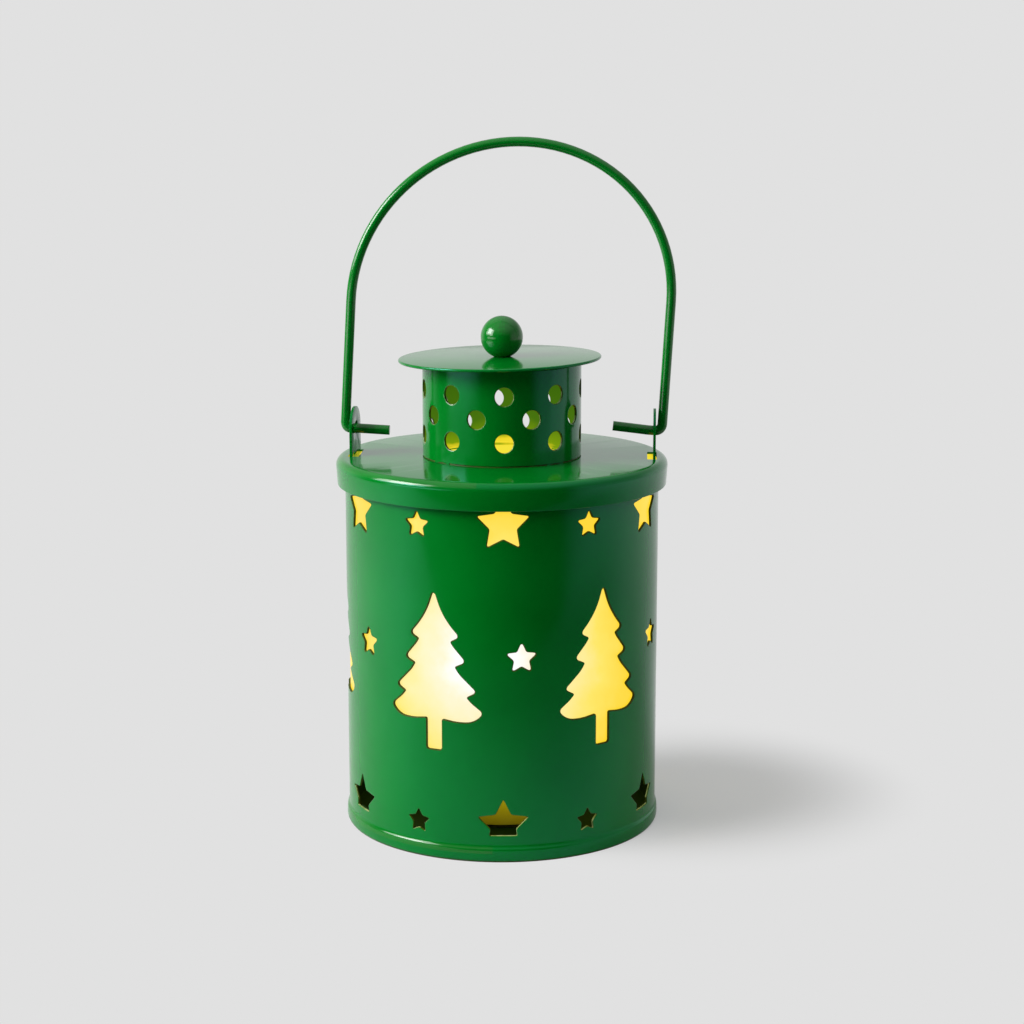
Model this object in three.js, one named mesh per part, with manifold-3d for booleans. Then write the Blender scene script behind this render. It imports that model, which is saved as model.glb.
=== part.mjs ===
// A tin lantern with a battery candle: a pierced wall, a lid with a vented chimney, and a wire bail.
// Millimetres, +Z up. The origin is the centre of the foot, on the surface that the lantern stands on.
// The bail's ears lie on the X axis, and an azimuth is counted from the front (-Y) towards +X.

import * as THREE from 'three';
import { mergeVertices } from 'three/addons/utils/BufferGeometryUtils.js';
import Module from 'manifold-3d';

// Sheet metal and clearances
const SHEET = 0.5;
const SEAT_GAP = 0.2;
const SLIP_GAP = 0.3;
const STACK_GAP = 0.1;

// Wall with its foot bead and back seam
const BODY_RADIUS = 37;
const BODY_HEIGHT = 88;
const BEAD_HEIGHT = 4.6;
const BEAD_BULGE = 0.75;
const HEM_WIDTH = 1.6;
const HEM_THICKNESS = 1.1;
const SEAM_WIDTH = 4;
const SEAM_RISE = 0.4;

// Pierced pattern: rows of stars above and below, trees and stars between them
const REPEATS = 5;
const PLAIN_GAP = 45;
const STAR_ROW_TURN = 3.8;
const MIDDLE_ROW_TURN = 10.25;
const TOP_ROW_DROP = 9;
const BOTTOM_ROW_RISE = 9.7;
const MIDDLE_ROW_LIFT = 0.3;
const MIDDLE_STAR_LIFT = 3.7;
const BIG_STAR_RADIUS = 6;
const SMALL_STAR_RADIUS = 2.85;
const MIDDLE_STAR_RADIUS = 3.4;
const STAR_WAIST = 0.55;
const TRUNK_HALF_WIDTH = 1.6;
const TRUNK_HEIGHT = 7.2;
const BOUGH_ROUNDING = 0.7;
// Each bough: half width at its tip, drop of the tip, half width of the notch below, drop of the notch
const BOUGHS = [
  [6.2, 10.6, 3.95, 11.7],
  [7.7, 16.3, 5, 17.5],
  [10.2, 23.2, 7.75, 24.5],
  [11.75, 28, TRUNK_HALF_WIDTH, 29.8],
];

// Film sleeve inside the wall
const FILM_THICKNESS = 0.4;
const FILM_FOOT = 17.2;

// Pan in the foot
const PAN_FLANGE_HEIGHT = 4.9;

// Lid
const LID_OVERHANG = 2.5;
const LID_SHOULDER = 2;
const LID_SKIRT = 6.4;
const LID_TAPER = 0.45;
const LID_LEDGE = 1.6;
const SLOT_LIGHT = 1.7;

// Chimney: pierced collar, cap and ball knob
const COLLAR_RADIUS = 18.8;
const COLLAR_HEIGHT = 22.5;
const COLLAR_FLANGE = 4;
const COLLAR_TABS = 4;
const TAB_WIDTH = 5;
const TAB_FOOT = 3;
const VENT_DIAMETER = 4.4;
const VENT_ROWS = 3;
const VENTS_PER_ROW = 9;
const VENT_FIRST_ROW = 5.5;
const VENT_ROW_PITCH = 5.4;
const VENT_TURN = 5;
const CAP_RADIUS = 24;
const CAP_ROLL = 0.7;
const BALL_RADIUS = 5;
const BALL_FLAT = 0.25;
const SCREW_RADIUS = 1.1;
const SCREW_HEAD_RADIUS = 2.4;
const SCREW_HEAD_HEIGHT = 1.3;
const SCREW_BITE = 5.5;

// Bail and its ears
const EAR_WIDTH = 10;
const EAR_SHEET = 0.6;
const EAR_LAP = 5.6;
const PIVOT_RISE = 6.3;
const WIRE_RADIUS = 1.15;
const PIVOT_CLEARANCE = 0.3;
const EAR_CLEARANCE = 0.4;
const BAIL_BEND = 1.6;
const BAIL_LEG = 30.5;
const BAIL_CROWN = 36.9;
const BAIL_END_GAP = 7.6;
const BAIL_END_SLOPE = 5;
const BAIL_LEAN = 3.3;

// Candle shell and flame
const CANDLE_HEIGHT = 20.4;
const CANDLE_WALL = 1.2;
const CANDLE_ROUNDING = 1.2;
const POOL_DEPTH = 1.6;
const PAD_THICKNESS = 0.5;
const PAD_WIDTH = 2.6;
const FLAME_RADIUS = 6;
const FLAME_HEIGHT = 21;
const FLAME_WALL = 1.2;
const FLAME_NECK = 0.4;
const FLAME_BELLY = 5.2;
const FLAME_TIP_SOLID = 6;
const FLAME_FLANGE = 1.4;
const FLAME_FLANGE_HEIGHT = 1;
const LAMP_RADIUS = 2.5;
const LAMP_RIM = 0.4;
const LAMP_RIM_HEIGHT = 1;
const LAMP_HEIGHT = 8.6;
const LEAD_RADIUS = 0.35;
const LEAD_SPACING = 2.54;
const LEAD_STRAIGHT = 4.4;
const LEAD_LANDING = 3.2;

// Battery well, twist cover and circuit
const CELL_RADIUS = 10;
const CELL_HEIGHT = 3.2;
const CELL_STEP = 1;
const CELL_POLE = 0.6;
const WELL_WALL = 1.2;
const WELL_MARGIN = 1.6;
const COVER_LEDGE = 0.7;
const COVER_LIP = 0.5;
const COVER_GROOVE = 1;
const LEDGE_THICKNESS = 0.8;
const LUG_REACH = 0.6;
const LUG_HALF_ANGLE = 14;
const LUG_UNLOCK = 40;
const LUG_CLEARANCE = 3;
const COIN_SLOT_LENGTH = 14;
const COIN_SLOT_WIDTH = 1.8;
const COIN_SLOT_DEPTH = 0.6;
const STRIP = 0.3;
const STRIP_WIDTH = 4;

// Slide switch
const SLIDER_WIDTH = 5;
const SLIDER_LENGTH = 6;
const SLIDER_PLATE = 1.2;
const SLIDER_TRAVEL = 2.5;
const KNOB_WIDTH = 3.2;
const KNOB_LENGTH = 2.2;
const KNOB_REACH = 1.5;
const GUIDE_RIB = 0.6;
const SWITCH_STANDOFF = 0.9;
const SWITCH_MARGIN = 2.3;
const BRIDGE_LENGTH = 4;
const TERMINAL_GAP = 1;

// Facets
const WIDE_SEGMENTS = 40;
const COLLAR_SEGMENTS = 36;
const SMALL_SEGMENTS = 28;
const HOLE_SIDES = 10;
const VENT_SIDES = 8;
const WIRE_SIDES = 8;
const FLAME_SEGMENTS = 20;
const WELD = 1e-4;

// Heights and radii that follow from the sizes above
const bodyInner = BODY_RADIUS - SHEET;
const treeHeight = BOUGHS.at(-1)[3] + TRUNK_HEIGHT;
const panUnder = HEM_THICKNESS + SLIP_GAP;
const panFloor = panUnder + SHEET;
const panTop = panUnder + PAN_FLANGE_HEIGHT;
const lidUnder = BODY_HEIGHT + SEAT_GAP;
const lidTop = lidUnder + SHEET;
const skirtFoot = lidTop - LID_SKIRT;
const collarFoot = lidTop + SEAT_GAP;
const collarTop = lidTop + COLLAR_HEIGHT;
const collarInner = COLLAR_RADIUS - SHEET;
const capUnder = collarTop + SEAT_GAP;
const capTop = capUnder + SHEET;
const screwHole = SCREW_RADIUS + SLIP_GAP;
const earOuter = Math.sqrt((bodyInner - SEAT_GAP) ** 2 - (EAR_WIDTH / 2) ** 2);
const earInner = earOuter - EAR_SHEET;
const earFoot = BODY_HEIGHT - EAR_LAP;
const pivotHeight = lidTop + PIVOT_RISE;
const legOffset = earOuter + EAR_CLEARANCE + WIRE_RADIUS;

const wellInner = CELL_RADIUS + SLIP_GAP;
const wellRadius = wellInner + WELL_WALL;
const switchBlock = SWITCH_STANDOFF + SLIDER_WIDTH + 2 * (GUIDE_RIB + SLIP_GAP);
const candleInner = wellRadius + (WELL_MARGIN + switchBlock + SWITCH_MARGIN) / 2;
const candleRadius = candleInner + CANDLE_WALL;
const candleFoot = panFloor + PAD_THICKNESS + 2 * STACK_GAP;
const candleTop = candleFoot + CANDLE_HEIGHT;
const poolTop = candleTop - POOL_DEPTH;
const poolUnder = poolTop - CANDLE_WALL;
const plateTop = candleFoot + COVER_LIP + COVER_GROOVE + LEDGE_THICKNESS;
const coverRadius = wellInner + COVER_LEDGE;
const coverTop = candleFoot + COVER_LIP + COVER_GROOVE - SEAT_GAP;
const cellFoot = coverTop + STACK_GAP;
const cellTop = cellFoot + CELL_HEIGHT;
const cellX = WELL_MARGIN + wellRadius - candleInner;
const switchX = cellX + wellRadius + SWITCH_STANDOFF + GUIDE_RIB + SLIP_GAP + SLIDER_WIDTH / 2;
const sliderFoot = plateTop + SEAT_GAP;
const sliderTop = sliderFoot + SLIDER_PLATE;
const bridgeTop = sliderTop + STACK_GAP + STRIP;
const terminalFoot = bridgeTop + SEAT_GAP;
const negativeFoot = cellTop + SEAT_GAP;
const flangeTop = poolUnder - SEAT_GAP;
const lampFoot = flangeTop - FLAME_FLANGE_HEIGHT;

const wasm = await Module();
wasm.setup();

// One closed skin: shared corners joined, collapsed triangles dropped, faces pointing out
function closed(geometry) {
  const bare = geometry.clone();
  bare.deleteAttribute('normal');
  bare.deleteAttribute('uv');
  const merged = mergeVertices(bare, WELD);
  const place = merged.getAttribute('position');
  const source = merged.getIndex().array;
  const corner = (index) => new THREE.Vector3().fromBufferAttribute(place, index);
  const kept = [];
  let volume = 0;
  for (let first = 0; first < source.length; first += 3) {
    const [a, b, c] = source.slice(first, first + 3);
    if (a !== b && b !== c && c !== a) {
      kept.push(a, b, c);
      volume += corner(a).dot(corner(b).cross(corner(c)));
    }
  }
  if (volume < 0) kept.reverse();
  merged.setIndex(kept);
  return merged;
}

function solid(geometry) {
  const skin = closed(geometry);
  return new wasm.Manifold(new wasm.Mesh({
    numProp: 3,
    vertProperties: Float32Array.from(skin.getAttribute('position').array),
    triVerts: Uint32Array.from(skin.getIndex().array),
  }));
}

function geometryOf(manifold) {
  const mesh = manifold.getMesh();
  const geometry = new THREE.BufferGeometry();
  geometry.setAttribute('position', new THREE.BufferAttribute(Float32Array.from(mesh.vertProperties), 3));
  geometry.setIndex(Array.from(mesh.triVerts));
  return geometry;
}

const radians = THREE.MathUtils.degToRad;

// Points of an arc in a profile, from one angle to another in degrees
function arc(centre, height, radius, from, to, steps) {
  const points = [];
  for (let step = 0; step <= steps; step += 1) {
    const angle = radians(from + (to - from) * step / steps);
    points.push([centre + radius * Math.cos(angle), height + radius * Math.sin(angle)]);
  }
  return points;
}

// Solid of revolution about Z from a profile of [radius, height]
function turned(profile, segments) {
  const points = profile.map(([radius, height]) => new THREE.Vector2(radius, height));
  return new THREE.LatheGeometry(points, segments).rotateX(Math.PI / 2);
}

// The same for a profile that closes on itself
function ring(profile, segments) {
  return turned([...profile, profile[0]], segments);
}

function disc(radius, low, high) {
  return turned([[0, low], [radius, low], [radius, high], [0, high]], SMALL_SEGMENTS);
}

// Box centred on x and y, standing on z
function box(x, y, z, width, depth, height) {
  return new THREE.BoxGeometry(width, depth, height).translate(x, y, z + height / 2);
}

// Piece of a ring between two radii and two heights, around one azimuth
function ringSector(inner, outer, low, high, azimuth, halfAngle) {
  const middle = radians(azimuth - 90);
  const half = radians(halfAngle);
  const shape = new THREE.Shape();
  shape.absarc(0, 0, outer, middle - half, middle + half, false);
  shape.absarc(0, 0, inner, middle + half, middle - half, true);
  const options = { depth: high - low, bevelEnabled: false, curveSegments: 4 };
  return new THREE.ExtrudeGeometry(shape, options).translate(0, 0, low);
}

function circleShape(radius, sides) {
  const points = [];
  for (let side = 0; side < sides; side += 1) {
    const angle = 2 * Math.PI * side / sides;
    points.push(new THREE.Vector2(radius * Math.cos(angle), radius * Math.sin(angle)));
  }
  return new THREE.Shape(points);
}

// Bent wire: straight between its points, with one ring of facets at each point
class WirePath extends THREE.Curve {
  constructor(points) {
    super();
    this.points = points;
  }

  getPoint(t, target = new THREE.Vector3()) {
    const place = t * (this.points.length - 1);
    const index = Math.min(Math.floor(place), this.points.length - 2);
    return target.lerpVectors(this.points[index], this.points[index + 1], place - index);
  }

  getPointAt(t, target) {
    return this.getPoint(t, target);
  }

  getTangentAt(t, target) {
    return this.getTangent(t, target);
  }
}

function wire(points, radius, sides) {
  const path = new WirePath(points.map(([x, y, z]) => new THREE.Vector3(x, y, z)));
  const options = { steps: points.length - 1, extrudePath: path };
  return new THREE.ExtrudeGeometry(circleShape(radius, sides), options);
}

// Cutter for a flat outline of [arc length, height] that is bent round the wall and cuts straight in
function wallCutter(shape, azimuth, height) {
  const reach = BODY_RADIUS / 5;
  const cutter = new THREE.ExtrudeGeometry(shape, { depth: 2 * reach, bevelEnabled: false });
  const place = cutter.getAttribute('position');
  for (let index = 0; index < place.count; index += 1) {
    const angle = radians(azimuth) + place.getX(index) / BODY_RADIUS;
    const radius = BODY_RADIUS - reach + place.getZ(index);
    const z = height + place.getY(index);
    place.setXYZ(index, radius * Math.sin(angle), -radius * Math.cos(angle), z);
  }
  return solid(cutter);
}

function starShape(radius) {
  const points = [];
  for (let corner = 0; corner < 10; corner += 1) {
    const angle = Math.PI * corner / 5;
    const reach = corner % 2 === 0 ? radius : radius * STAR_WAIST;
    points.push(new THREE.Vector2(reach * Math.sin(angle), reach * Math.cos(angle)));
  }
  return new THREE.Shape(points);
}

// Fir tree standing on height 0, each bough with a rounded tip and an underside that droops inwards
function treeShape() {
  const right = [new THREE.Vector2(0, treeHeight)];
  for (const [tip, tipDrop, notch, notchDrop] of BOUGHS) {
    const corner = new THREE.Vector2(tip, treeHeight - tipDrop);
    const upper = new THREE.Vector2(corner.x - BOUGH_ROUNDING, corner.y + BOUGH_ROUNDING);
    const lower = new THREE.Vector2(corner.x - BOUGH_ROUNDING, corner.y - BOUGH_ROUNDING / 2);
    const nose = new THREE.QuadraticBezierCurve(upper, corner, lower);
    right.push(...nose.getPoints(2), new THREE.Vector2(notch, treeHeight - notchDrop));
  }
  right.push(new THREE.Vector2(TRUNK_HALF_WIDTH, 0));
  const left = right.slice(1).reverse().map((point) => new THREE.Vector2(-point.x, point.y));
  return new THREE.Shape([...right, ...left]);
}

function bodyShell() {
  const bead = arc(0, 0, 1, -90, 90, 6).map(([out, up]) => [
    BODY_RADIUS + BEAD_BULGE * out,
    BEAD_HEIGHT / 2 * (1 + up),
  ]);
  const wall = [
    [BODY_RADIUS, BODY_HEIGHT],
    [bodyInner, BODY_HEIGHT],
    [bodyInner, HEM_THICKNESS],
    [bodyInner - HEM_WIDTH + SHEET, HEM_THICKNESS],
    [bodyInner - HEM_WIDTH + SHEET, 0],
  ];
  const pitch = (360 - PLAIN_GAP) / REPEATS;
  const starRowBack = STAR_ROW_TURN - pitch / 4 + 180;
  const seam = ringSector(BODY_RADIUS - SHEET / 2, BODY_RADIUS + SEAM_RISE, BEAD_HEIGHT, skirtFoot - SEAT_GAP,
    starRowBack, THREE.MathUtils.radToDeg(SEAM_WIDTH / 2 / BODY_RADIUS));
  const topRow = BODY_HEIGHT - TOP_ROW_DROP;
  const middleRow = (topRow + BOTTOM_ROW_RISE) / 2 + MIDDLE_ROW_LIFT;
  let shell = solid(ring([...bead, ...wall], WIDE_SEGMENTS)).add(solid(seam));
  for (let repeat = 0; repeat < REPEATS; repeat += 1) {
    const turn = (repeat - (REPEATS - 1) / 2) * pitch;
    const cuts = [
      wallCutter(starShape(BIG_STAR_RADIUS), STAR_ROW_TURN + turn, topRow),
      wallCutter(starShape(BIG_STAR_RADIUS), STAR_ROW_TURN + turn, BOTTOM_ROW_RISE),
      wallCutter(starShape(SMALL_STAR_RADIUS), STAR_ROW_TURN + turn - pitch / 2, topRow),
      wallCutter(starShape(SMALL_STAR_RADIUS), STAR_ROW_TURN + turn - pitch / 2, BOTTOM_ROW_RISE),
      wallCutter(starShape(MIDDLE_STAR_RADIUS), MIDDLE_ROW_TURN + turn, middleRow + MIDDLE_STAR_LIFT),
      wallCutter(treeShape(), MIDDLE_ROW_TURN + turn - pitch / 2, middleRow - treeHeight / 2),
    ];
    for (const cut of cuts) shell = shell.subtract(cut);
  }
  return shell;
}

function diffuserSleeve() {
  const outer = bodyInner - SLIP_GAP;
  const top = earFoot - SLIP_GAP;
  const profile = [
    [outer, FILM_FOOT],
    [outer, top],
    [outer - FILM_THICKNESS, top],
    [outer - FILM_THICKNESS, FILM_FOOT],
  ];
  return ring(profile, WIDE_SEGMENTS);
}

function basePan() {
  const outer = bodyInner - SEAT_GAP;
  const opening = candleRadius - PAD_WIDTH;
  const profile = [
    [opening, panUnder],
    [outer - SHEET, panUnder],
    [outer, panFloor],
    [outer, panTop],
    [outer - SHEET, panTop],
    [outer - SHEET, panFloor + SHEET],
    [outer - 2 * SHEET, panFloor],
    [opening, panFloor],
  ];
  return ring(profile, WIDE_SEGMENTS);
}

function lidPan() {
  const outer = BODY_RADIUS + LID_OVERHANG;
  const flat = outer - LID_SHOULDER;
  const opening = collarInner - LID_LEDGE;
  const shoulder = arc(flat, lidTop - LID_SHOULDER, LID_SHOULDER, 90, 0, 4);
  const hollow = arc(flat, lidTop - LID_SHOULDER, LID_SHOULDER - SHEET, 0, 90, 4);
  const profile = [
    [opening, lidTop],
    ...shoulder,
    [outer - LID_TAPER, skirtFoot],
    [outer - LID_TAPER - SHEET, skirtFoot],
    ...hollow,
    [opening, lidUnder],
  ];
  let lid = solid(ring(profile, WIDE_SEGMENTS));
  const slotInner = earInner - SLOT_LIGHT;
  const slotOuter = earOuter + SLIP_GAP;
  for (const side of [-1, 1]) {
    const slot = box(side * (slotInner + slotOuter) / 2, 0, lidUnder - SHEET,
      slotOuter - slotInner, EAR_WIDTH + 2 * SLIP_GAP, 3 * SHEET);
    lid = lid.subtract(solid(slot));
  }
  const slit = THREE.MathUtils.radToDeg((TAB_WIDTH / 2 + SLIP_GAP) / collarInner);
  for (let tab = 0; tab < COLLAR_TABS; tab += 1) {
    const cut = ringSector(collarInner - SLIP_GAP, COLLAR_RADIUS + SLIP_GAP, lidUnder - SHEET, lidTop + SHEET,
      360 * (tab + 0.5) / COLLAR_TABS, slit);
    lid = lid.subtract(solid(cut));
  }
  return lid;
}

function chimneyCollar() {
  const profile = [
    [COLLAR_RADIUS, collarFoot],
    [COLLAR_RADIUS, collarTop],
    [COLLAR_RADIUS - COLLAR_FLANGE, collarTop],
    [COLLAR_RADIUS - COLLAR_FLANGE, collarTop - SHEET],
    [collarInner, collarTop - SHEET],
    [collarInner, collarFoot],
  ];
  let collar = solid(ring(profile, COLLAR_SEGMENTS));
  const footTop = lidUnder - SEAT_GAP;
  const half = THREE.MathUtils.radToDeg(TAB_WIDTH / 2 / COLLAR_RADIUS);
  for (let tab = 0; tab < COLLAR_TABS; tab += 1) {
    const azimuth = 360 * (tab + 0.5) / COLLAR_TABS;
    const strap = ringSector(collarInner, COLLAR_RADIUS, footTop - SHEET, collarFoot + SHEET, azimuth, half);
    const foot = ringSector(collarInner, COLLAR_RADIUS + TAB_FOOT, footTop - SHEET, footTop, azimuth, half);
    collar = collar.add(solid(strap)).add(solid(foot));
  }
  const drill = new THREE.CylinderGeometry(VENT_DIAMETER / 2, VENT_DIAMETER / 2, COLLAR_RADIUS, VENT_SIDES)
    .translate(0, -COLLAR_RADIUS, 0);
  const pitch = 360 / VENTS_PER_ROW;
  for (let row = 0; row < VENT_ROWS; row += 1) {
    const height = lidTop + VENT_FIRST_ROW + row * VENT_ROW_PITCH;
    for (let vent = 0; vent < VENTS_PER_ROW; vent += 1) {
      const azimuth = VENT_TURN + (vent + row / 2) * pitch;
      const hole = drill.clone().rotateZ(radians(azimuth)).translate(0, 0, height);
      collar = collar.subtract(solid(hole));
    }
  }
  return collar;
}

function chimneyCap() {
  const roll = CAP_ROLL / 2;
  const profile = [
    [screwHole, capTop],
    ...arc(CAP_RADIUS - roll, capTop - roll, roll, 90, -90, 4),
    [CAP_RADIUS - CAP_ROLL, capUnder],
    [screwHole, capUnder],
  ];
  return ring(profile, COLLAR_SEGMENTS);
}

const ballFoot = capTop + STACK_GAP;
const boreTop = ballFoot + SCREW_BITE;

function ballKnob() {
  const centre = ballFoot + BALL_RADIUS - BALL_FLAT;
  const foot = THREE.MathUtils.radToDeg(Math.asin((BALL_RADIUS - BALL_FLAT) / BALL_RADIUS));
  const profile = [
    [0, boreTop],
    [screwHole, boreTop],
    [screwHole, ballFoot],
    ...arc(0, centre, BALL_RADIUS, -foot, 75, 9),
    [0, centre + BALL_RADIUS],
  ];
  return turned(profile, SMALL_SEGMENTS);
}

function knobScrew() {
  const headTop = capUnder - STACK_GAP;
  const profile = [
    [0, headTop - SCREW_HEAD_HEIGHT],
    [SCREW_HEAD_RADIUS, headTop - SCREW_HEAD_HEIGHT],
    [SCREW_HEAD_RADIUS, headTop],
    [SCREW_RADIUS, headTop],
    [SCREW_RADIUS, boreTop - SLIP_GAP],
    [0, boreTop - SLIP_GAP],
  ];
  return turned(profile, HOLE_SIDES);
}

// Flat tab with a round top, standing inside the wall, with the bail's hole at the centre of its round
function bailEar(side) {
  const half = EAR_WIDTH / 2;
  const shape = new THREE.Shape();
  shape.moveTo(-half, earFoot);
  shape.lineTo(half, earFoot);
  shape.absarc(0, pivotHeight, half, 0, Math.PI, false);
  shape.closePath();
  const pivot = new THREE.Vector2(0, pivotHeight);
  const hole = circleShape(WIRE_RADIUS + PIVOT_CLEARANCE, HOLE_SIDES).getPoints();
  shape.holes.push(new THREE.Path(hole.map((point) => point.add(pivot))));
  const tab = new THREE.ExtrudeGeometry(shape, { depth: EAR_SHEET, bevelEnabled: false, curveSegments: 10 });
  const turn = new THREE.Matrix4().makeBasis(
    new THREE.Vector3(0, 1, 0), new THREE.Vector3(0, 0, 1), new THREE.Vector3(1, 0, 0));
  return tab.applyMatrix4(turn).translate(side > 0 ? earInner : -earOuter, 0, 0);
}

// Wire loop: an end through each ear, a straight leg and a crown between the legs, all leaning one way
function bailHandle() {
  const end = COLLAR_RADIUS + BAIL_END_GAP;
  const rise = (earInner - end) * Math.tan(radians(BAIL_END_SLOPE));
  const crownFoot = pivotHeight + BAIL_LEG;
  const half = [
    [end, pivotHeight + rise],
    [earInner, pivotHeight],
    ...arc(legOffset - BAIL_BEND, pivotHeight + BAIL_BEND, BAIL_BEND, -90, 0, 5),
    [legOffset, pivotHeight + BAIL_LEG / 2],
  ];
  const crownSteps = 11;
  for (let step = 0; step < crownSteps; step += 1) {
    const angle = Math.PI / 2 * step / crownSteps;
    half.push([legOffset * Math.cos(angle), crownFoot + BAIL_CROWN * Math.sin(angle)]);
  }
  const apex = [0, crownFoot + BAIL_CROWN];
  const mirrored = half.map(([x, z]) => [-x, z]).reverse();
  const lean = Math.tan(radians(BAIL_LEAN));
  const route = [...half, apex, ...mirrored].map(([x, z]) => [x + (z - pivotHeight) * lean, 0, z]);
  return wire(route, WIRE_RADIUS, WIRE_SIDES);
}

function candlePad() {
  const foot = panFloor + STACK_GAP;
  const outer = candleRadius - SLIP_GAP;
  const inner = candleRadius - PAD_WIDTH + SLIP_GAP;
  const profile = [
    [inner, foot],
    [outer, foot],
    [outer, foot + PAD_THICKNESS],
    [inner, foot + PAD_THICKNESS],
  ];
  return ring(profile, SMALL_SEGMENTS);
}

// Cup with its mouth down, its top hollowed like melted wax round the flame
function candleShell() {
  const mouth = FLAME_RADIUS + SLIP_GAP;
  const rim = candleRadius - CANDLE_ROUNDING;
  const profile = [
    [candleRadius, candleFoot],
    ...arc(rim, candleTop - CANDLE_ROUNDING, CANDLE_ROUNDING, 0, 90, 3),
    [mouth + FLAME_FLANGE + SLIP_GAP, poolTop],
    [mouth, poolTop],
    [mouth, poolUnder],
    [candleInner, poolUnder],
    [candleInner, candleFoot],
  ];
  return ring(profile, SMALL_SEGMENTS);
}

// Hollow flame: a spline from the tip to a widest belly, then a neck and a flange under the candle's top
function flameTip() {
  const neck = FLAME_RADIUS - FLAME_NECK;
  const bore = LAMP_RADIUS + LAMP_RIM + SLIP_GAP;
  const belly = poolTop + FLAME_BELLY;
  const tip = poolTop + FLAME_HEIGHT;
  const hollowTop = tip - FLAME_TIP_SOLID;
  const outline = new THREE.SplineCurve([
    new THREE.Vector2(0, tip),
    new THREE.Vector2(FLAME_RADIUS / 2, (belly + tip) / 2 + FLAME_WALL),
    new THREE.Vector2(FLAME_RADIUS, belly),
    new THREE.Vector2(neck, poolTop),
  ]);
  const profile = [
    [0, tip],
    ...outline.getPoints(7).slice(1).map((point) => [point.x, point.y]),
    [neck, flangeTop],
    [FLAME_RADIUS + FLAME_FLANGE, flangeTop],
    [FLAME_RADIUS + FLAME_FLANGE, lampFoot],
    [bore, lampFoot],
    [bore, poolTop],
    [FLAME_RADIUS - FLAME_WALL, belly],
    [bore, (belly + hollowTop) / 2],
    [0, hollowTop],
  ];
  return turned(profile, FLAME_SEGMENTS);
}

function ledLamp() {
  const top = lampFoot + LAMP_HEIGHT;
  const profile = [
    [0, lampFoot],
    [LAMP_RADIUS + LAMP_RIM, lampFoot],
    [LAMP_RADIUS + LAMP_RIM, lampFoot + LAMP_RIM_HEIGHT],
    [LAMP_RADIUS, lampFoot + LAMP_RIM_HEIGHT],
    ...arc(0, top - LAMP_RADIUS, LAMP_RADIUS, 0, 60, 2),
    [0, top],
  ];
  return turned(profile, HOLE_SIDES);
}

function leadNegative() {
  const x = -LEAD_SPACING / 2;
  const top = lampFoot - STACK_GAP;
  const foot = negativeFoot + STRIP + STACK_GAP;
  const route = [
    [x, 0, top],
    [x, 0, top - LEAD_STRAIGHT],
    [cellX, 0, foot + LEAD_LANDING],
    [cellX, 0, foot],
  ];
  return wire(route, LEAD_RADIUS, 6);
}

const bridgeY = SLIDER_TRAVEL / 2;
const terminalY = bridgeY + BRIDGE_LENGTH / 4;
const lampTerminalX = switchX + TERMINAL_GAP / 2;

function leadPositive() {
  const x = LEAD_SPACING / 2;
  const top = lampFoot - STACK_GAP;
  const foot = terminalFoot + STRIP + STACK_GAP;
  const endX = lampTerminalX + LEAD_SPACING / 2;
  const route = [
    [x, 0, top],
    [x, 0, top - LEAD_STRAIGHT],
    [endX, terminalY, foot + LEAD_LANDING],
    [endX, terminalY, foot],
  ];
  return wire(route, LEAD_RADIUS, 6);
}

// Plate with the cell's well, the twist cover's grooved seat, the switch's slot and two guide ribs
function candleBase() {
  const hole = coverRadius + SLIP_GAP;
  const groove = hole + LUG_REACH;
  const at = (geometry) => solid(geometry.translate(cellX, 0, 0));
  const drum = (radius, low, high) => at(disc(radius, low, high));
  const lipTop = candleFoot + COVER_LIP;
  const ledgeUnder = lipTop + COVER_GROOVE;
  const plateRadius = candleInner - SLIP_GAP;
  let base = solid(disc(plateRadius, candleFoot, plateTop));
  base = base.add(drum(wellRadius, candleFoot + COVER_LIP, cellTop));
  base = base.subtract(drum(wellInner, candleFoot - 1, cellTop + 1));
  base = base.subtract(drum(hole, candleFoot - 1, ledgeUnder));
  base = base.subtract(drum(groove, lipTop, ledgeUnder));
  for (const side of [0, 180]) {
    const notch = ringSector(wellInner, groove, candleFoot - 1, ledgeUnder,
      90 + side - LUG_UNLOCK, LUG_HALF_ANGLE + LUG_CLEARANCE);
    base = base.subtract(at(notch));
  }
  const window = box(cellX + wellRadius, 0, plateTop, 3 * WELL_WALL, STRIP_WIDTH + 2 * SLIP_GAP, CELL_HEIGHT);
  base = base.subtract(solid(window));
  const slotWidth = KNOB_WIDTH + 2 * SLIP_GAP;
  const slotLength = KNOB_LENGTH + SLIDER_TRAVEL + 2 * SLIP_GAP;
  const slot = box(switchX, 0, candleFoot - 1, slotWidth, slotLength, plateTop - candleFoot + 2);
  base = base.subtract(solid(slot));
  const ribX = SLIDER_WIDTH / 2 + SLIP_GAP + GUIDE_RIB / 2;
  for (const side of [-1, 1]) {
    const rib = box(switchX + side * ribX, 0, plateTop - LEDGE_THICKNESS / 2, GUIDE_RIB,
      SLIDER_LENGTH + SLIDER_TRAVEL, terminalFoot - SEAT_GAP - plateTop + LEDGE_THICKNESS / 2);
    base = base.add(solid(rib));
  }
  return base;
}

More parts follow.
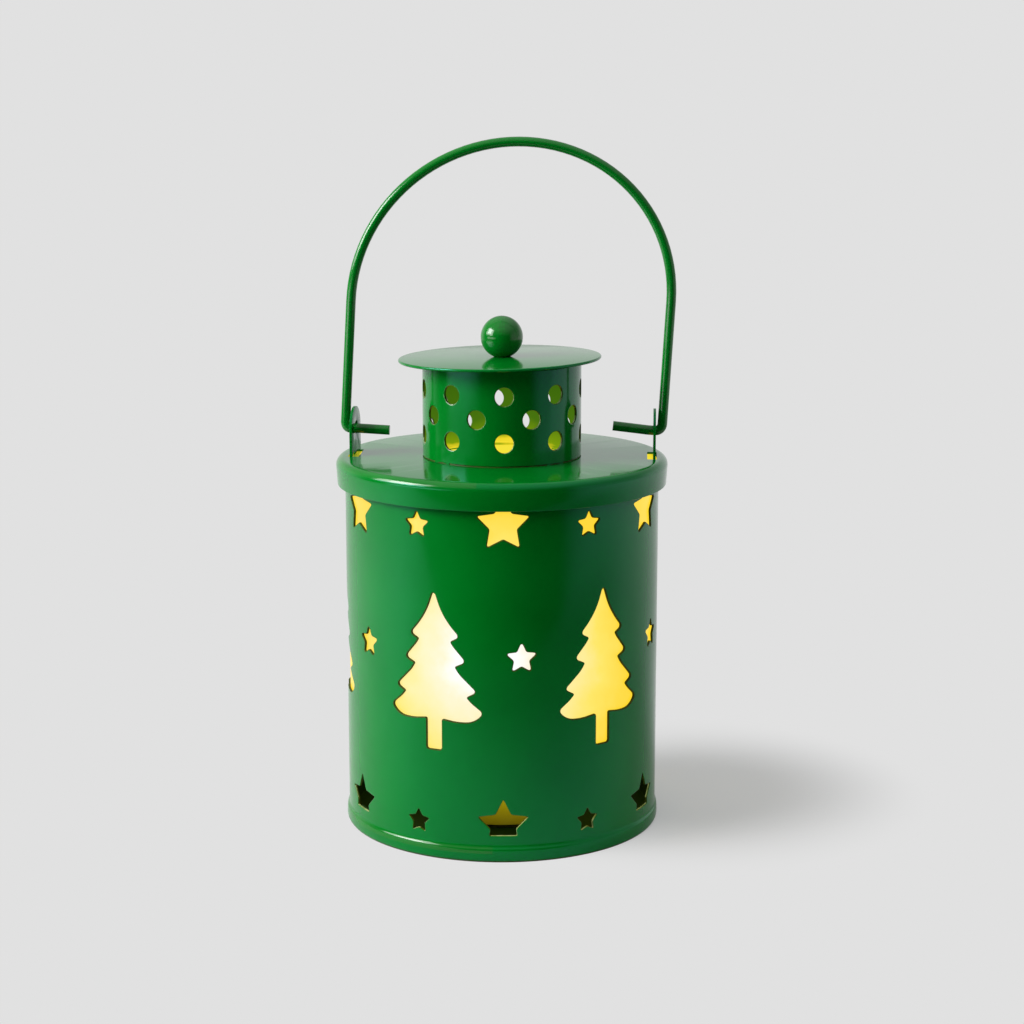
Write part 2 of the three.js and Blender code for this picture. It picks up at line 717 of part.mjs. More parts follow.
// Twist cover, turned by a coin, with a lug at each side under the seat's lip
function batteryCover() {
  const lugFoot = candleFoot + COVER_LIP + SEAT_GAP;
  let cover = solid(disc(coverRadius, candleFoot, coverTop));
  for (const azimuth of [90, 270]) {
    const lug = ringSector(coverRadius - COVER_LEDGE, coverRadius + LUG_REACH, lugFoot, coverTop,
      azimuth, LUG_HALF_ANGLE);
    cover = cover.add(solid(lug));
  }
  const coinSlot = box(0, 0, candleFoot - COIN_SLOT_DEPTH,
    COIN_SLOT_WIDTH, COIN_SLOT_LENGTH, 2 * COIN_SLOT_DEPTH);
  return geometryOf(cover.subtract(solid(coinSlot))).translate(cellX, 0, 0);
}

function coinCell() {
  const step = CELL_RADIUS - CELL_STEP;
  const shoulder = cellTop - CELL_POLE;
  const profile = [
    [0, cellFoot],
    [CELL_RADIUS, cellFoot],
    [CELL_RADIUS, shoulder],
    [step, shoulder],
    [step, cellTop],
    [0, cellTop],
  ];
  return turned(profile, SMALL_SEGMENTS).translate(cellX, 0, 0);
}

// Strip across the well, over the cell's smaller pole
function negativeContact() {
  return box(cellX, 0, negativeFoot, STRIP_WIDTH, 2 * wellRadius, STRIP);
}

// Angle strip: its upright bears on the cell's side and its tail reaches over the switch
function positiveContact() {
  const start = cellX + CELL_RADIUS + SEAT_GAP;
  const end = switchX - TERMINAL_GAP / 2;
  const foot = plateTop + SEAT_GAP;
  const upright = box(start + STRIP / 2, 0, foot, STRIP, STRIP_WIDTH, terminalFoot + STRIP - foot);
  const tail = box((start + end) / 2, 0, terminalFoot, end - start, STRIP_WIDTH, STRIP);
  return solid(upright).add(solid(tail));
}

function lampTerminal() {
  const end = switchX + SLIDER_WIDTH / 2 + SLIP_GAP + GUIDE_RIB;
  return box((lampTerminalX + end) / 2, terminalY, terminalFoot,
    end - lampTerminalX, BRIDGE_LENGTH / 2, STRIP);
}

// Slide switch at its on place: a plate between the ribs and a knob that comes out below
function switchSlider() {
  const plate = box(switchX, bridgeY, sliderFoot, SLIDER_WIDTH, SLIDER_LENGTH, SLIDER_PLATE);
  const knobFoot = candleFoot - KNOB_REACH;
  const knob = box(switchX, bridgeY, knobFoot, KNOB_WIDTH, KNOB_LENGTH, sliderTop - knobFoot);
  return solid(plate).add(solid(knob));
}

function switchBridge() {
  return box(switchX, bridgeY, sliderTop + STACK_GAP, SLIDER_WIDTH - 2 * SLIP_GAP, BRIDGE_LENGTH, STRIP);
}

function finish(color, roughness, metalness) {
  return new THREE.MeshStandardMaterial({ color, roughness, metalness });
}

const enamel = finish('#0b6b2c', 0.18, 0);
const film = finish('#f6df74', 0.6, 0);
const ivory = finish('#efe2b4', 0.5, 0);
const glow = finish('#ffe9a0', 0.4, 0);
const clear = finish('#fff3cf', 0.15, 0);
const white = finish('#e9e7df', 0.45, 0);
const black = finish('#26282a', 0.55, 0);
const foam = finish('#3a3a38', 0.9, 0);
const steel = finish('#c6c8c9', 0.3, 1);
const brass = finish('#c9a85a', 0.35, 1);

const lantern = new THREE.Group();

function place(name, shape, material) {
  const geometry = shape instanceof THREE.BufferGeometry ? closed(shape) : geometryOf(shape);
  const mesh = new THREE.Mesh(geometry, material);
  mesh.name = name;
  lantern.add(mesh);
}

place('body_shell', bodyShell(), enamel);
place('base_pan', basePan(), enamel);
place('diffuser_sleeve', diffuserSleeve(), film);
place('lid_pan', lidPan(), enamel);
place('bail_ear_left', bailEar(-1), enamel);
place('bail_ear_right', bailEar(1), enamel);
place('bail_handle', bailHandle(), enamel);
place('chimney_collar', chimneyCollar(), enamel);
place('chimney_cap', chimneyCap(), enamel);
place('ball_knob', ballKnob(), enamel);
place('knob_screw', knobScrew(), steel);
place('candle_pad', candlePad(), foam);
place('candle_shell', candleShell(), ivory);
place('candle_base', candleBase(), white);
place('battery_cover', batteryCover(), white);
place('coin_cell', coinCell(), steel);
place('negative_contact', negativeContact(), brass);
place('positive_contact', positiveContact(), brass);
place('lamp_terminal', lampTerminal(), brass);
place('switch_slider', switchSlider(), black);
place('switch_bridge', switchBridge(), brass);
place('led_lamp', ledLamp(), clear);
place('lead_negative', leadNegative(), steel);
place('lead_positive', leadPositive(), steel);
place('flame_tip', flameTip(), glow);

export default lantern;
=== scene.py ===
# %% [markdown]
# # A lit tin lantern, dressed in Blender
#
# The real object is a rolled tin can with stars and fir trees cut into its wall, a pressed lid, a pierced
# chimney and a wire bail, all painted in gloss green. A battery candle inside lights a yellow film. The
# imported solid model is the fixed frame: it is loaded first and never moved. Every piece below is made in
# that same frame, in metres, with the floor at zero, the front towards -Y and the bail's ears on X.

# %% Load the frame
import math

import bmesh
import bpy
from mathutils import Matrix, Vector


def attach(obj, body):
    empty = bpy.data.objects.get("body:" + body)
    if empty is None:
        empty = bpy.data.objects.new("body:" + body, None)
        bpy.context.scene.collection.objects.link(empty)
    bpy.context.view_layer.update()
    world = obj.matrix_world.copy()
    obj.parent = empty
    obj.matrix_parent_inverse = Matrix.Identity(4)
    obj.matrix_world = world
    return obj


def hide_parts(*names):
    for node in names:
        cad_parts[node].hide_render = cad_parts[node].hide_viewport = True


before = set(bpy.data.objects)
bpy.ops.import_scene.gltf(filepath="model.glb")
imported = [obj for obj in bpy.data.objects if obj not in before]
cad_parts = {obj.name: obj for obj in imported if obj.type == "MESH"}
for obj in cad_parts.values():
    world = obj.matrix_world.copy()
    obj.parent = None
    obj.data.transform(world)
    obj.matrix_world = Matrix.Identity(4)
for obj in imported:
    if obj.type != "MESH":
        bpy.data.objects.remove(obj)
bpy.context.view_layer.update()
MM = 0.001
scene = bpy.context.scene

# %% [markdown]
# ## The camera
#
# The photograph looks slightly down on the lid through a long lens, from a little to the right of the front.
# Distance, height and tilt were fitted to the ellipses of the lid and foot, so the same outline falls on the
# same pixels. A long lens far away could be guessed by eye, but then the lid's ellipse comes out too flat.

# %% Camera
CAMERA_REACH = 528 * MM
CAMERA_HEIGHT = 177.5 * MM
CAMERA_TILT = math.radians(11.016)
CAMERA_AZIMUTH = math.radians(3.4)
CAMERA_YAW = math.radians(0.26)

camera_data = bpy.data.cameras.new("camera")
camera_data.sensor_width = 36
camera_data.lens = 79.1
camera = bpy.data.objects.new("camera", camera_data)
camera.location = (
    CAMERA_REACH * math.sin(CAMERA_AZIMUTH),
    -CAMERA_REACH * math.cos(CAMERA_AZIMUTH),
    CAMERA_HEIGHT,
)
camera.rotation_euler = (math.pi / 2 - CAMERA_TILT, 0, CAMERA_AZIMUTH - CAMERA_YAW)
scene.collection.objects.link(camera)
scene.camera = camera
scene.view_settings.view_transform = "Standard"
print("camera at", [round(c, 3) for c in camera.location])

# %% [markdown]
# ## Small helpers for materials
#
# Colours are written as sRGB hex codes, as a paint card gives them, while shader sockets want linear light.
# One function converts them. A second one adds any shader node with its options, its socket values and its
# links, so a material reads as a short list of nodes. Most finishes here wander between two shades in
# patches of some real size, so that pattern is written once as well.

# %% Colour and node helpers
def colour(code):
    """The linear colour of an sRGB hex code such as '#0b6b2c'."""
    channels = [int(code[start:start + 2], 16) / 255 for start in (1, 3, 5)]
    linear = [c / 12.92 if c <= 0.04045 else ((c + 0.055) / 1.055) ** 2.4 for c in channels]
    return (*linear, 1.0)


def add(tree, kind, sockets=None, stops=None, **options):
    """Adds one shader node; a socket gets a value, a link or a node's first output, and a ramp its stops."""
    node = tree.nodes.new("ShaderNode" + kind)
    for name, value in options.items():
        setattr(node, name, value)
    if stops:
        elements = node.color_ramp.elements
        while len(elements) < len(stops):
            elements.new(0.5)
        for element, (place, shade) in zip(elements, stops):
            element.position = place
            element.color = shade
    for name, value in (sockets or {}).items():
        if isinstance(value, bpy.types.Node):
            value = value.outputs[0]
        if isinstance(value, bpy.types.NodeSocket):
            tree.links.new(value, node.inputs[name])
        else:
            node.inputs[name].default_value = value
    return node


def empty_tree(owner):
    """Clears the node tree of a world or a material."""
    owner.use_nodes = True
    owner.node_tree.nodes.clear()
    return owner.node_tree


def blank(name):
    """A material without nodes, its tree, and the Object coordinates that its patterns start from."""
    material = bpy.data.materials.new(name)
    tree = empty_tree(material)
    return material, tree, add(tree, "TexCoord").outputs["Object"]


def mottle(tree, place, size, detail, dark, light):
    """A noise with patches of a real size, and the colour that wanders with it between two shades."""
    noise = add(tree, "TexNoise", {"Vector": place, "Scale": 1 / size, "Detail": detail})
    tone = add(tree, "ValToRGB", {"Fac": noise}, stops=[(0.3, colour(dark)), (0.7, colour(light))])
    return noise, tone


print("mid grey in linear light:", round(colour("#808080")[0], 3))

# %% [markdown]
# ## The room
#
# The lantern stood on a sheet of pale paper that ran up behind it, under a bright ceiling, in a room that
# was dark behind the camera. Gloss paint mirrors all of that, so the world is drawn by direction: pale paper
# low behind, which dims upwards, a grey card at the right and the ceiling overhead. Large white planes would
# do as well, but each would also cast a shadow.

# %% Backdrop and ceiling
PAPER = "#e1e1e1"
ROOM = "#1a1a1a"
CARD = 0.65
CEILING = 0.72

world = bpy.data.worlds.new("studio")
scene.world = world
tree = empty_tree(world)
direction = add(tree, "SeparateXYZ", {"Vector": add(tree, "TexCoord").outputs["Generated"]})
behind = add(tree, "MapRange", {"Value": direction.outputs["Y"], "From Min": 0.1, "From Max": 0.6},
             interpolation_type="SMOOTHSTEP")
card = add(tree, "MapRange", {"Value": direction.outputs["X"], "From Min": 0.68, "From Max": 0.92,
                              "To Max": CARD}, interpolation_type="SMOOTHSTEP")
pale = add(tree, "Math", {0: behind, 1: card}, operation="MAXIMUM")
low_down = add(tree, "MapRange", {"Value": direction.outputs["Z"], "From Min": 0.1, "From Max": 0.55,
                                  "To Min": 1.0, "To Max": 0.15}, interpolation_type="SMOOTHSTEP")
backdrop = add(tree, "Math", {0: pale, 1: low_down}, operation="MULTIPLY")
air = add(tree, "ValToRGB", {"Fac": backdrop}, stops=[(0.0, colour(ROOM)), (1.0, colour(PAPER))])
overhead = add(tree, "MapRange", {"Value": direction.outputs["Z"], "From Min": 0.1, "From Max": 1.0,
                                  "To Max": CEILING}, interpolation_type="SMOOTHSTEP")
walls = add(tree, "Background", {"Color": air, "Strength": 1.0})
ceiling = add(tree, "Background", {"Color": colour("#ffffff"), "Strength": overhead})
room = add(tree, "AddShader", {0: walls, 1: ceiling})
print("nodes of the room:", len(tree.nodes))

# %% [markdown]
# ## The reflector and the flat background
#
# A low white reflector at the front left draws the pale lines along the wire. It is a patch of light with a
# soft border on each of its four sides, which multiply. The camera itself, and a ray that passes through
# clear plastic, see the background as one flat grey.

# %% Reflector and flat background
REFLECTOR = 3.2
BORDERS = (("X", -0.45, -0.75), ("Y", -0.1, -0.25), ("Z", -0.155, -0.07), ("Z", 0.04, 0.0))

shine = REFLECTOR
for axis, dark, bright in BORDERS:
    side = add(tree, "MapRange", {"Value": direction.outputs[axis], "From Min": dark, "From Max": bright})
    shine = add(tree, "Math", {0: side, 1: shine}, operation="MULTIPLY")
reflector = add(tree, "Background", {"Color": colour("#ffffff"), "Strength": shine})
room = add(tree, "AddShader", {0: room, 1: reflector})
seen = add(tree, "Background", {"Color": colour(PAPER), "Strength": 1.0})
ray = add(tree, "LightPath")
plain = add(tree, "Math", {0: ray.outputs["Is Camera Ray"], 1: ray.outputs["Is Transmission Ray"]},
            operation="MAXIMUM")
both = add(tree, "MixShader", {0: plain, 1: room, 2: seen})
add(tree, "OutputWorld", {"Surface": both})
print("nodes of the world:", len(tree.nodes))

# %% [markdown]
# ## The softbox
#
# One large softbox stood close by at the left, high up. It is an area lamp with a smaller, brighter core,
# near enough that the paper beside it is brighter than the paper in front. One lamp alone would be simpler,
# but its mirror image in the paint would lack the hot middle.

# %% Softbox
SOFTBOX_AZIMUTH = math.radians(-72)
SOFTBOX_REACH = 0.65
SOFTBOX_HEIGHT = 0.32
AIM_HEIGHT = 0.06
# Name, width, height, power, and how far the lamp is moved forward and up
LAMPS = (("softbox_cloth", 0.55, 0.36, 4.4, 0, 0.08), ("softbox_core", 0.26, 0.28, 2.5, 0.02, 0.12))

stand = Vector((SOFTBOX_REACH * math.sin(SOFTBOX_AZIMUTH), -SOFTBOX_REACH * math.cos(SOFTBOX_AZIMUTH),
                SOFTBOX_HEIGHT))
aim = Vector((0, 0, AIM_HEIGHT)) - stand
for name, width, height, power, forward, up in LAMPS:
    lamp = bpy.data.lights.new(name, "AREA")
    lamp.shape = "RECTANGLE"
    lamp.size = width
    lamp.size_y = height
    lamp.energy = power
    holder = bpy.data.objects.new(name, lamp)
    holder.location = stand + aim.normalized() * forward + Vector((0, 0, up))
    holder.rotation_euler = aim.to_track_quat("-Z", "Y").to_euler()
    scene.collection.objects.link(holder)
print("softbox at", [round(c, 3) for c in stand])

# %% [markdown]
# ## The paper on the floor
#
# A plain sheet. It ends a hand's width in front of the lantern, outside the picture, as the real one seems
# to, because the middle of the can mirrors no pale floor. Its colour is darker towards that end and towards
# the right, as painted shade; it lies a little askew and stops at the softbox. The softbox lights it
# unevenly, while the photograph shows one even grey round the shadow. So for the camera it fades into the
# flat background all round the shadow, and for mirrored rays only further away, so that no horizon shows.

# %% Paper finish
FIBRE = 0.6 * MM
SHADOW_MIDDLE = (43 * MM, 21 * MM, 0)

paper, tree, place = blank("studio_paper")
fibre = add(tree, "TexNoise", {"Vector": place, "Scale": 1 / FIBRE})
# The paper's colour darkens towards the front and the right: painted shade.
away = add(tree, "VectorMath", {0: place, 1: (-0.25, 1.0, 0.0)}, operation="DOT_PRODUCT")
painted_dimming = add(tree, "MapRange", {"Value": away.outputs["Value"], "From Min": -0.17, "From Max": -0.03,
                              "To Max": 0.96})
grain = add(tree, "Math", {0: fibre, 1: 0.04, 2: painted_dimming}, operation="MULTIPLY_ADD")
tone = add(tree, "ValToRGB", {"Fac": grain}, stops=[(0.0, colour("#606060")), (1.0, colour("#d2d2d2"))])
matt = add(tree, "BsdfDiffuse", {"Color": tone, "Roughness": 0.0})
from_shadow = add(tree, "VectorMath", {0: place, 1: SHADOW_MIDDLE}, operation="DISTANCE")
near_fade = add(tree, "MapRange", {"Value": from_shadow.outputs["Value"], "From Min": 20 * MM,
                                   "From Max": 65 * MM, "To Min": 0.34, "To Max": 1.0},
                interpolation_type="SMOOTHSTEP")
far = add(tree, "VectorMath", {0: place}, operation="LENGTH")
far_fade = add(tree, "MapRange", {"Value": far.outputs["Value"], "From Min": 0.2, "From Max": 0.5},
               interpolation_type="SMOOTHSTEP")
ray = add(tree, "LightPath")
mirrored = add(tree, "Math", {0: far_fade, 1: ray.outputs["Is Glossy Ray"]}, operation="MULTIPLY")
veil = add(tree, "Math", {0: near_fade, 1: ray.outputs["Is Camera Ray"],
                          2: mirrored}, operation="MULTIPLY_ADD")
haze = add(tree, "Emission", {"Color": colour(PAPER), "Strength": 1.0})
ground = add(tree, "MixShader", {0: veil, 1: matt, 2: haze})
add(tree, "OutputMaterial", {"Surface": ground})
print("paper nodes:", len(tree.nodes))

# %% [markdown]
# ## Laying the paper
#
# The sheet is a grid of one face. It is moved and turned in its mesh, so its object stays at the origin.

# %% Floor
FLOOR_FRONT = -0.21
FLOOR_LEFT = -0.55
FLOOR_TURN = 4.5
FLOOR_SIZE = 6.0


def tilt(bm, degrees, axis, centre=(0, 0, 0)):
    """Turns all of bm round an axis through a point."""
    bmesh.ops.rotate(bm, verts=bm.verts, cent=centre, matrix=Matrix.Rotation(math.radians(degrees), 3, axis))


bm = bmesh.new()
bmesh.ops.create_grid(bm, x_segments=1, y_segments=1, size=FLOOR_SIZE)
bmesh.ops.translate(bm, verts=bm.verts, vec=(FLOOR_SIZE + FLOOR_LEFT, FLOOR_SIZE + FLOOR_FRONT, 0))
tilt(bm, FLOOR_TURN, "Z")
floor_mesh = bpy.data.meshes.new("floor")
bm.to_mesh(floor_mesh)
bm.free()
floor_mesh.materials.append(paper)
floor = bpy.data.objects.new("floor", floor_mesh)
scene.collection.objects.link(floor)
print("floor starts at y =", FLOOR_FRONT)

# %% [markdown]
# ## Gloss green enamel
#
# Tin lanterns are sprayed with an alkyd or epoxy enamel and stoved. It flows out to a hard gloss with a
# faint orange peel, a few nibs of dust and a slightly uneven film. The base colour is a deep green; the
# gloss is an ordinary clear film of index 1.5. Near the middle the reflection is tinted by the pigment,
# which a specular tint gives, while at a flat angle it stays white, as on the lid. On the ball and along
# edges the paint pools, so the coat is thicker and clearer and its highlight is white. The same
# white-glinting coat is put on the upper left of the foot bead and the left of the lid's shoulder, where the
# softbox shines, as a painted highlight. The wire was dipped, which leaves it smooth, with one clean line of
# light.

# %% Enamel
ORANGE_PEEL = 1.8 * MM
NIB_SPACING = 9 * MM
PAINT_CLOUD = 16 * MM


def spray(name, tint, unevenness=0.12):
    """One coat of the green enamel; tint colours its reflection where one looks straight at it."""
    material, tree, place = blank(name)
    cloud, paint = mottle(tree, place, PAINT_CLOUD, 3.0, "#00701b", "#00781f")
    gloss = add(tree, "MapRange", {"Value": cloud, "From Min": 0.3, "From Max": 0.7,
                                   "To Min": 0.1, "To Max": 0.15})
    peel = add(tree, "TexNoise", {"Vector": place, "Scale": 1 / ORANGE_PEEL, "Detail": 1.0})
    nib = add(tree, "TexVoronoi", {"Vector": place, "Scale": 1 / NIB_SPACING})
    speck = add(tree, "MapRange", {"Value": nib, "From Min": 0.0, "From Max": 0.035,
                                   "To Min": 1.0, "To Max": 0.0})
    relief = add(tree, "Math", {0: speck, 1: peel}, operation="ADD")
    skin = add(tree, "Bump", {"Height": relief, "Strength": unevenness, "Distance": 0.05 * MM})
    coat = add(tree, "BsdfPrincipled", {
        "Base Color": paint, "Roughness": gloss, "IOR": 1.5, "Specular Tint": colour(tint),
        "Normal": skin})
    add(tree, "OutputMaterial", {"Surface": coat})
    return material


enamel = spray("gloss_green_enamel", "#90ffff")
# Clear coat with a white highlight: thick paint on the ball and rims, a painted highlight on the bead and
# shoulder.
pooled_and_glint_enamel = spray("pooled_enamel_and_painted_glint", "#ffffff")
wire_enamel = spray("dipped_green_enamel", "#ffffff", 0.02)
print("enamel nodes:", len(enamel.node_tree.nodes))

# %% [markdown]
# ## The enamel inside
#
# The inner faces only caught overspray, so a dark lacquered tin shows through. Lit by the candle it looks
# golden under the lid and olive in the chimney. The light that reaches it bounces many times on the way, so
# it is painted as emission by height, brighter in front and behind. At the foot, below the film, hardly any
# light gets to it. It is rougher than the outside and its colour wanders more.

# %% Inner lacquer
OVERSPRAY = 7 * MM
LIT_LOW, LIT_HIGH = 88 * MM, 106 * MM

lacquer, tree, place = blank("overspray_on_tin_lacquer")
drift, tone = mottle(tree, place, OVERSPRAY, 4.0, "#041c03", "#062407")
grit = add(tree, "Bump", {"Height": drift, "Strength": 0.2, "Distance": 0.1 * MM})
spot = add(tree, "SeparateXYZ", {"Vector": place})
wander = add(tree, "Math", {0: drift, 1: 4 * MM, 2: spot.outputs["Z"]}, operation="MULTIPLY_ADD")
way = add(tree, "Math", {0: spot.outputs["Y"]}, operation="ABSOLUTE")
facing = add(tree, "MapRange", {"Value": way, "From Min": 16.2 * MM, "From Max": 18.2 * MM,
                                "To Max": 2.2 * MM})
level = add(tree, "Math", {0: wander, 1: facing}, operation="SUBTRACT")
rise = add(tree, "MapRange", {"Value": level, "From Min": LIT_LOW, "From Max": LIT_HIGH})
candlelight = add(tree, "ValToRGB", {"Fac": rise}, stops=[
    (0.0, colour("#f6e23c")), (0.1, colour("#f0d628")), (0.17, colour("#7a9a0a")),
    (0.45, colour("#46700e")), (1.0, colour("#3a640a"))])
lit = add(tree, "MapRange", {"Value": spot.outputs["Z"], "From Min": 20 * MM, "From Max": 60 * MM})
inner = add(tree, "BsdfPrincipled", {
    "Base Color": tone, "Roughness": 0.8, "Specular IOR Level": 0.1, "Normal": grit,
    "Emission Color": candlelight, "Emission Strength": lit})
add(tree, "OutputMaterial", {"Surface": inner})
print("lacquer nodes:", len(tree.nodes))

# %% [markdown]
# ## Cut edges, with painted shade and painted light
#
# Round every punched hole the paint thins out over the shear burr and the tin darkens a little under it. So
# a cut edge reads as a fine dark olive line between the green paint and the bright film: partly that thin
# paint and partly painted shade in the hole. It is darker and duller than the enamel, and broken up along
# the edge. The same dark finish is painted as shade under the foot bead and in the joint at the chimney's
# foot.
# Where no film is behind it and it looks up or to the left, the edge gets a pale copy with a faint glow
# instead: a painted highlight where the softbox catches it.

# %% Cut-edge finishes
BURR = 1.2 * MM

# Dark olive edge: thin paint on the cut, and painted shade in the holes, under the bead and in the chimney's
# joint.
dark_edge_and_shade, tree, place = blank("thin_paint_and_painted_shade")
burr, tone = mottle(tree, place, BURR, 2.0, "#2c3a06", "#44520e")
rough = add(tree, "MapRange", {"Value": burr, "From Min": 0.3, "From Max": 0.7,
                               "To Min": 0.4, "To Max": 0.6})
edge = add(tree, "BsdfPrincipled", {
    "Base Color": tone, "Roughness": rough, "IOR": 1.5, "Specular IOR Level": 0.15})
add(tree, "OutputMaterial", {"Surface": edge})

# A pale, faintly glowing copy of the dark edge: a painted highlight on edges that face the softbox.
painted_edge_light, tree, place = blank("painted_light_on_tin_edges")
burr, tone = mottle(tree, place, BURR, 2.0, "#5e7040", "#90a074")
edge = add(tree, "BsdfPrincipled", {
    "Base Color": tone, "Roughness": 0.25, "Emission Color": tone, "Emission Strength": 0.25})
add(tree, "OutputMaterial", {"Surface": edge})
print("cut edges are broken up every", BURR, "m")

# %% [markdown]
# ## Drawing outlines and turning them
#
# Almost every piece here starts as a flat outline: a section that is turned like on a lathe, or a shape that
# is punched from sheet. An outline is written as corners with a rounding each. A vertex bevel draws the
# rounding, so no arc has to be worked out by hand, and a spin turns a section into a ring.

# %% Outline and lathe helpers
def outline(bm, corners, closed=True, segments=6):
    """Edges through flat corners (x, y, rounding) in mm; a vertex bevel rounds each corner that asks."""
    verts = [bm.verts.new((x * MM, y * MM, 0)) for x, y, _ in corners]
    for index in range(0 if closed else 1, len(verts)):
        bm.edges.new((verts[index - 1], verts[index]))
    for rounding in sorted({r for _, _, r in corners if r}):
        chosen = [v for v, corner in zip(verts, corners) if corner[2] == rounding]
        bmesh.ops.bevel(bm, geom=chosen, offset=rounding * MM, offset_type="OFFSET", affect="VERTICES",
                        segments=segments, profile=0.5, material=-1, clamp_overlap=False)
    bmesh.ops.remove_doubles(bm, verts=bm.verts, dist=1e-7)


def join(bm, part):
    """Adds another bmesh to bm and frees it."""
    carrier = bpy.data.meshes.new("carrier")
    part.to_mesh(carrier)
    part.free()
    bm.from_mesh(carrier)
    bpy.data.meshes.remove(carrier)


def turned(bm, corners, steps, closed=True, segments=6):
    """Spins a section of (radius, height, rounding) corners once round Z into bm."""
    section = bmesh.new()
    outline(section, corners, closed, segments)
    tilt(section, 90, "X")
    bmesh.ops.spin(section, geom=section.verts[:] + section.edges[:], cent=(0, 0, 0), axis=(0, 0, 1),
                   angle=2 * math.pi, steps=steps, use_merge=True)
    bmesh.ops.remove_doubles(section, verts=section.verts, dist=1e-7)
    join(bm, section)


def ring(corners, steps, closed=True, segments=6):
    """A new bmesh of one turned section, with its faces outwards."""
    bm = bmesh.new()
    turned(bm, corners, steps, closed, segments)
    bmesh.ops.recalc_face_normals(bm, faces=bm.faces)
    return bm


ROUND_STEPS = 144
print("a ring has", ROUND_STEPS, "steps")

# %% [markdown]
# ## From a mesh to a piece
#
# A finished piece is an object at the origin with its place in its mesh. It rides on one body of the frame
# and stands for one CAD node. Faces are smooth, and an edge stays sharp where it bends by more than an
# angle, so no modifier is needed for that.

# %% Piece helper
def make_piece(bm, name, materials, body, slot, *nodes, sharp=40):
    """Closes a bmesh into an object at the origin that rides on a body and stands for CAD nodes."""
    for face in bm.faces:
        face.smooth = True
    for edge in bm.edges:
        edge.smooth = edge.calc_face_angle(0) < math.radians(sharp)
    mesh = bpy.data.meshes.new(name)
    bm.to_mesh(mesh)
    bm.free()
    for material in materials:
        mesh.materials.append(material)
    piece = bpy.data.objects.new(name, mesh)
    scene.collection.objects.link(piece)
    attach(piece, body)
    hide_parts(*nodes)
    print(name, "has", len(mesh.polygons), "faces")
    return piece


print("pieces are smooth up to 40 degrees")

# %% [markdown]
# ## Sheet metal by hand
#
# Sheet is worked flat: a filled outline gets its thickness by an extrusion, its edges are softened by a
# bevel, it is scored along lines so that it can bend, and then each point is bent round the lantern's axis.

# %% Sheet helpers
def plate(bm, depth, dissolve=False):
    """Fills the outlines drawn in bm and gives the fill a thickness along Z, in mm."""
    bmesh.ops.triangle_fill(bm, use_beauty=True, use_dissolve=dissolve, edges=bm.edges[:], normal=(0, 0, 1))
    moved = bmesh.ops.extrude_face_region(bm, geom=bm.faces[:], use_keep_orig=True)["geom"]
    verts = [item for item in moved if isinstance(item, bmesh.types.BMVert)]
    bmesh.ops.translate(bm, verts=verts, vec=(0, 0, depth * MM))
    bmesh.ops.recalc_face_normals(bm, faces=bm.faces)


def soften(bm, edges, width, segments, clamp=True):
    """Rounds edges over a width in mm."""
    bmesh.ops.bevel(bm, geom=edges, offset=width * MM, offset_type="OFFSET", affect="EDGES",
                    segments=segments, profile=0.5, material=-1, clamp_overlap=clamp)


def score(bm, across):
    """Cuts all faces along a line of one x."""
    bmesh.ops.bisect_plane(bm, geom=bm.verts[:] + bm.edges[:] + bm.faces[:], dist=1e-7,
                           plane_co=(across, 0, 0), plane_no=(1, 0, 0))


def bend(bm, radius, azimuth):
    """Rolls flat geometry round Z: x becomes arc length from an azimuth, y height and z the way out."""
    for vert in bm.verts:
        angle = vert.co.x / (radius * MM) + math.radians(azimuth)
        reach = radius * MM + vert.co.z
        vert.co = (reach * math.sin(angle), -reach * math.cos(angle), vert.co.y)


SHEET = 0.5
print("sheet is", SHEET, "mm thick")

# %% [markdown]
# ## Rolling a cut sheet
#
# The real wall is punched flat and then rolled, and so is this one. The blank and its holes are outlines in
# one plane, filled as one face net. Thickness and the small paint roundings come while it is flat. Then it
# is scored into narrow strips and bent. A boolean on a finished tube would give the same holes, but its long
# thin faces show in gloss paint. For the same reason the shading normals are set straight out or in
# afterwards.

# %% Rolled wall
CUT_ROUNDING = 0.22
RIM_DEPTH = 0.08
OUTSIDE, INSIDE, DARK_EDGE_AND_SHADE, POOLED_AND_GLINT, LIT, JOINT_SHADE = range(6)
CATCHES_LIGHT = Vector((-0.8, -0.1, 0.6))


def rolled_sheet(radius, thickness, low, high, draw_holes, strips, lit_below):
    """A tube rolled from flat sheet with holes; its ends are welded later, and low cut edges get painted
    light.
    """
    bm = bmesh.new()
    half = math.pi * radius
    outline(bm, [(-half, low, 0), (half, low, 0), (half, high, 0), (-half, high, 0)])
    draw_holes(bm)
    plate(bm, -thickness)
    border = half * MM - 1e-6
    ends = [f for f in bm.faces if abs(f.calc_center_median().x) > border]
    bmesh.ops.delete(bm, geom=ends, context="FACES_ONLY")
    inside = (low * MM + 1e-6, high * MM - 1e-6)
    rims = [e for e in bm.edges if all(abs(v.co.z) < 1e-7 for v in e.verts) and len(e.link_faces) == 2
            and e.calc_face_angle(0) > 1 and inside[0] < e.verts[0].co.y < inside[1]]
    soften(bm, rims, CUT_ROUNDING, segments=2, clamp=False)
    for face in bm.faces:
        depth = -face.calc_center_median().z / MM
        if depth > thickness - 0.001:
            face.material_index = INSIDE
        elif depth > 0.001:
            face.material_index = DARK_EDGE_AND_SHADE if depth > RIM_DEPTH else POOLED_AND_GLINT
    for strip in range(1, strips):
        score(bm, (2 * strip / strips - 1) * half * MM)
    bend(bm, radius, 0)
    bmesh.ops.remove_doubles(bm, verts=bm.verts, dist=1e-7)
    bm.normal_update()
    # Cut faces low down that look up and to the left get the pale copy: painted light from the softbox.
    for face in bm.faces:
        lit = face.normal.dot(CATCHES_LIGHT) > 0.5 and face.calc_center_median().z < lit_below * MM
        if lit and face.material_index == DARK_EDGE_AND_SHADE:
            face.material_index = LIT
    return bm


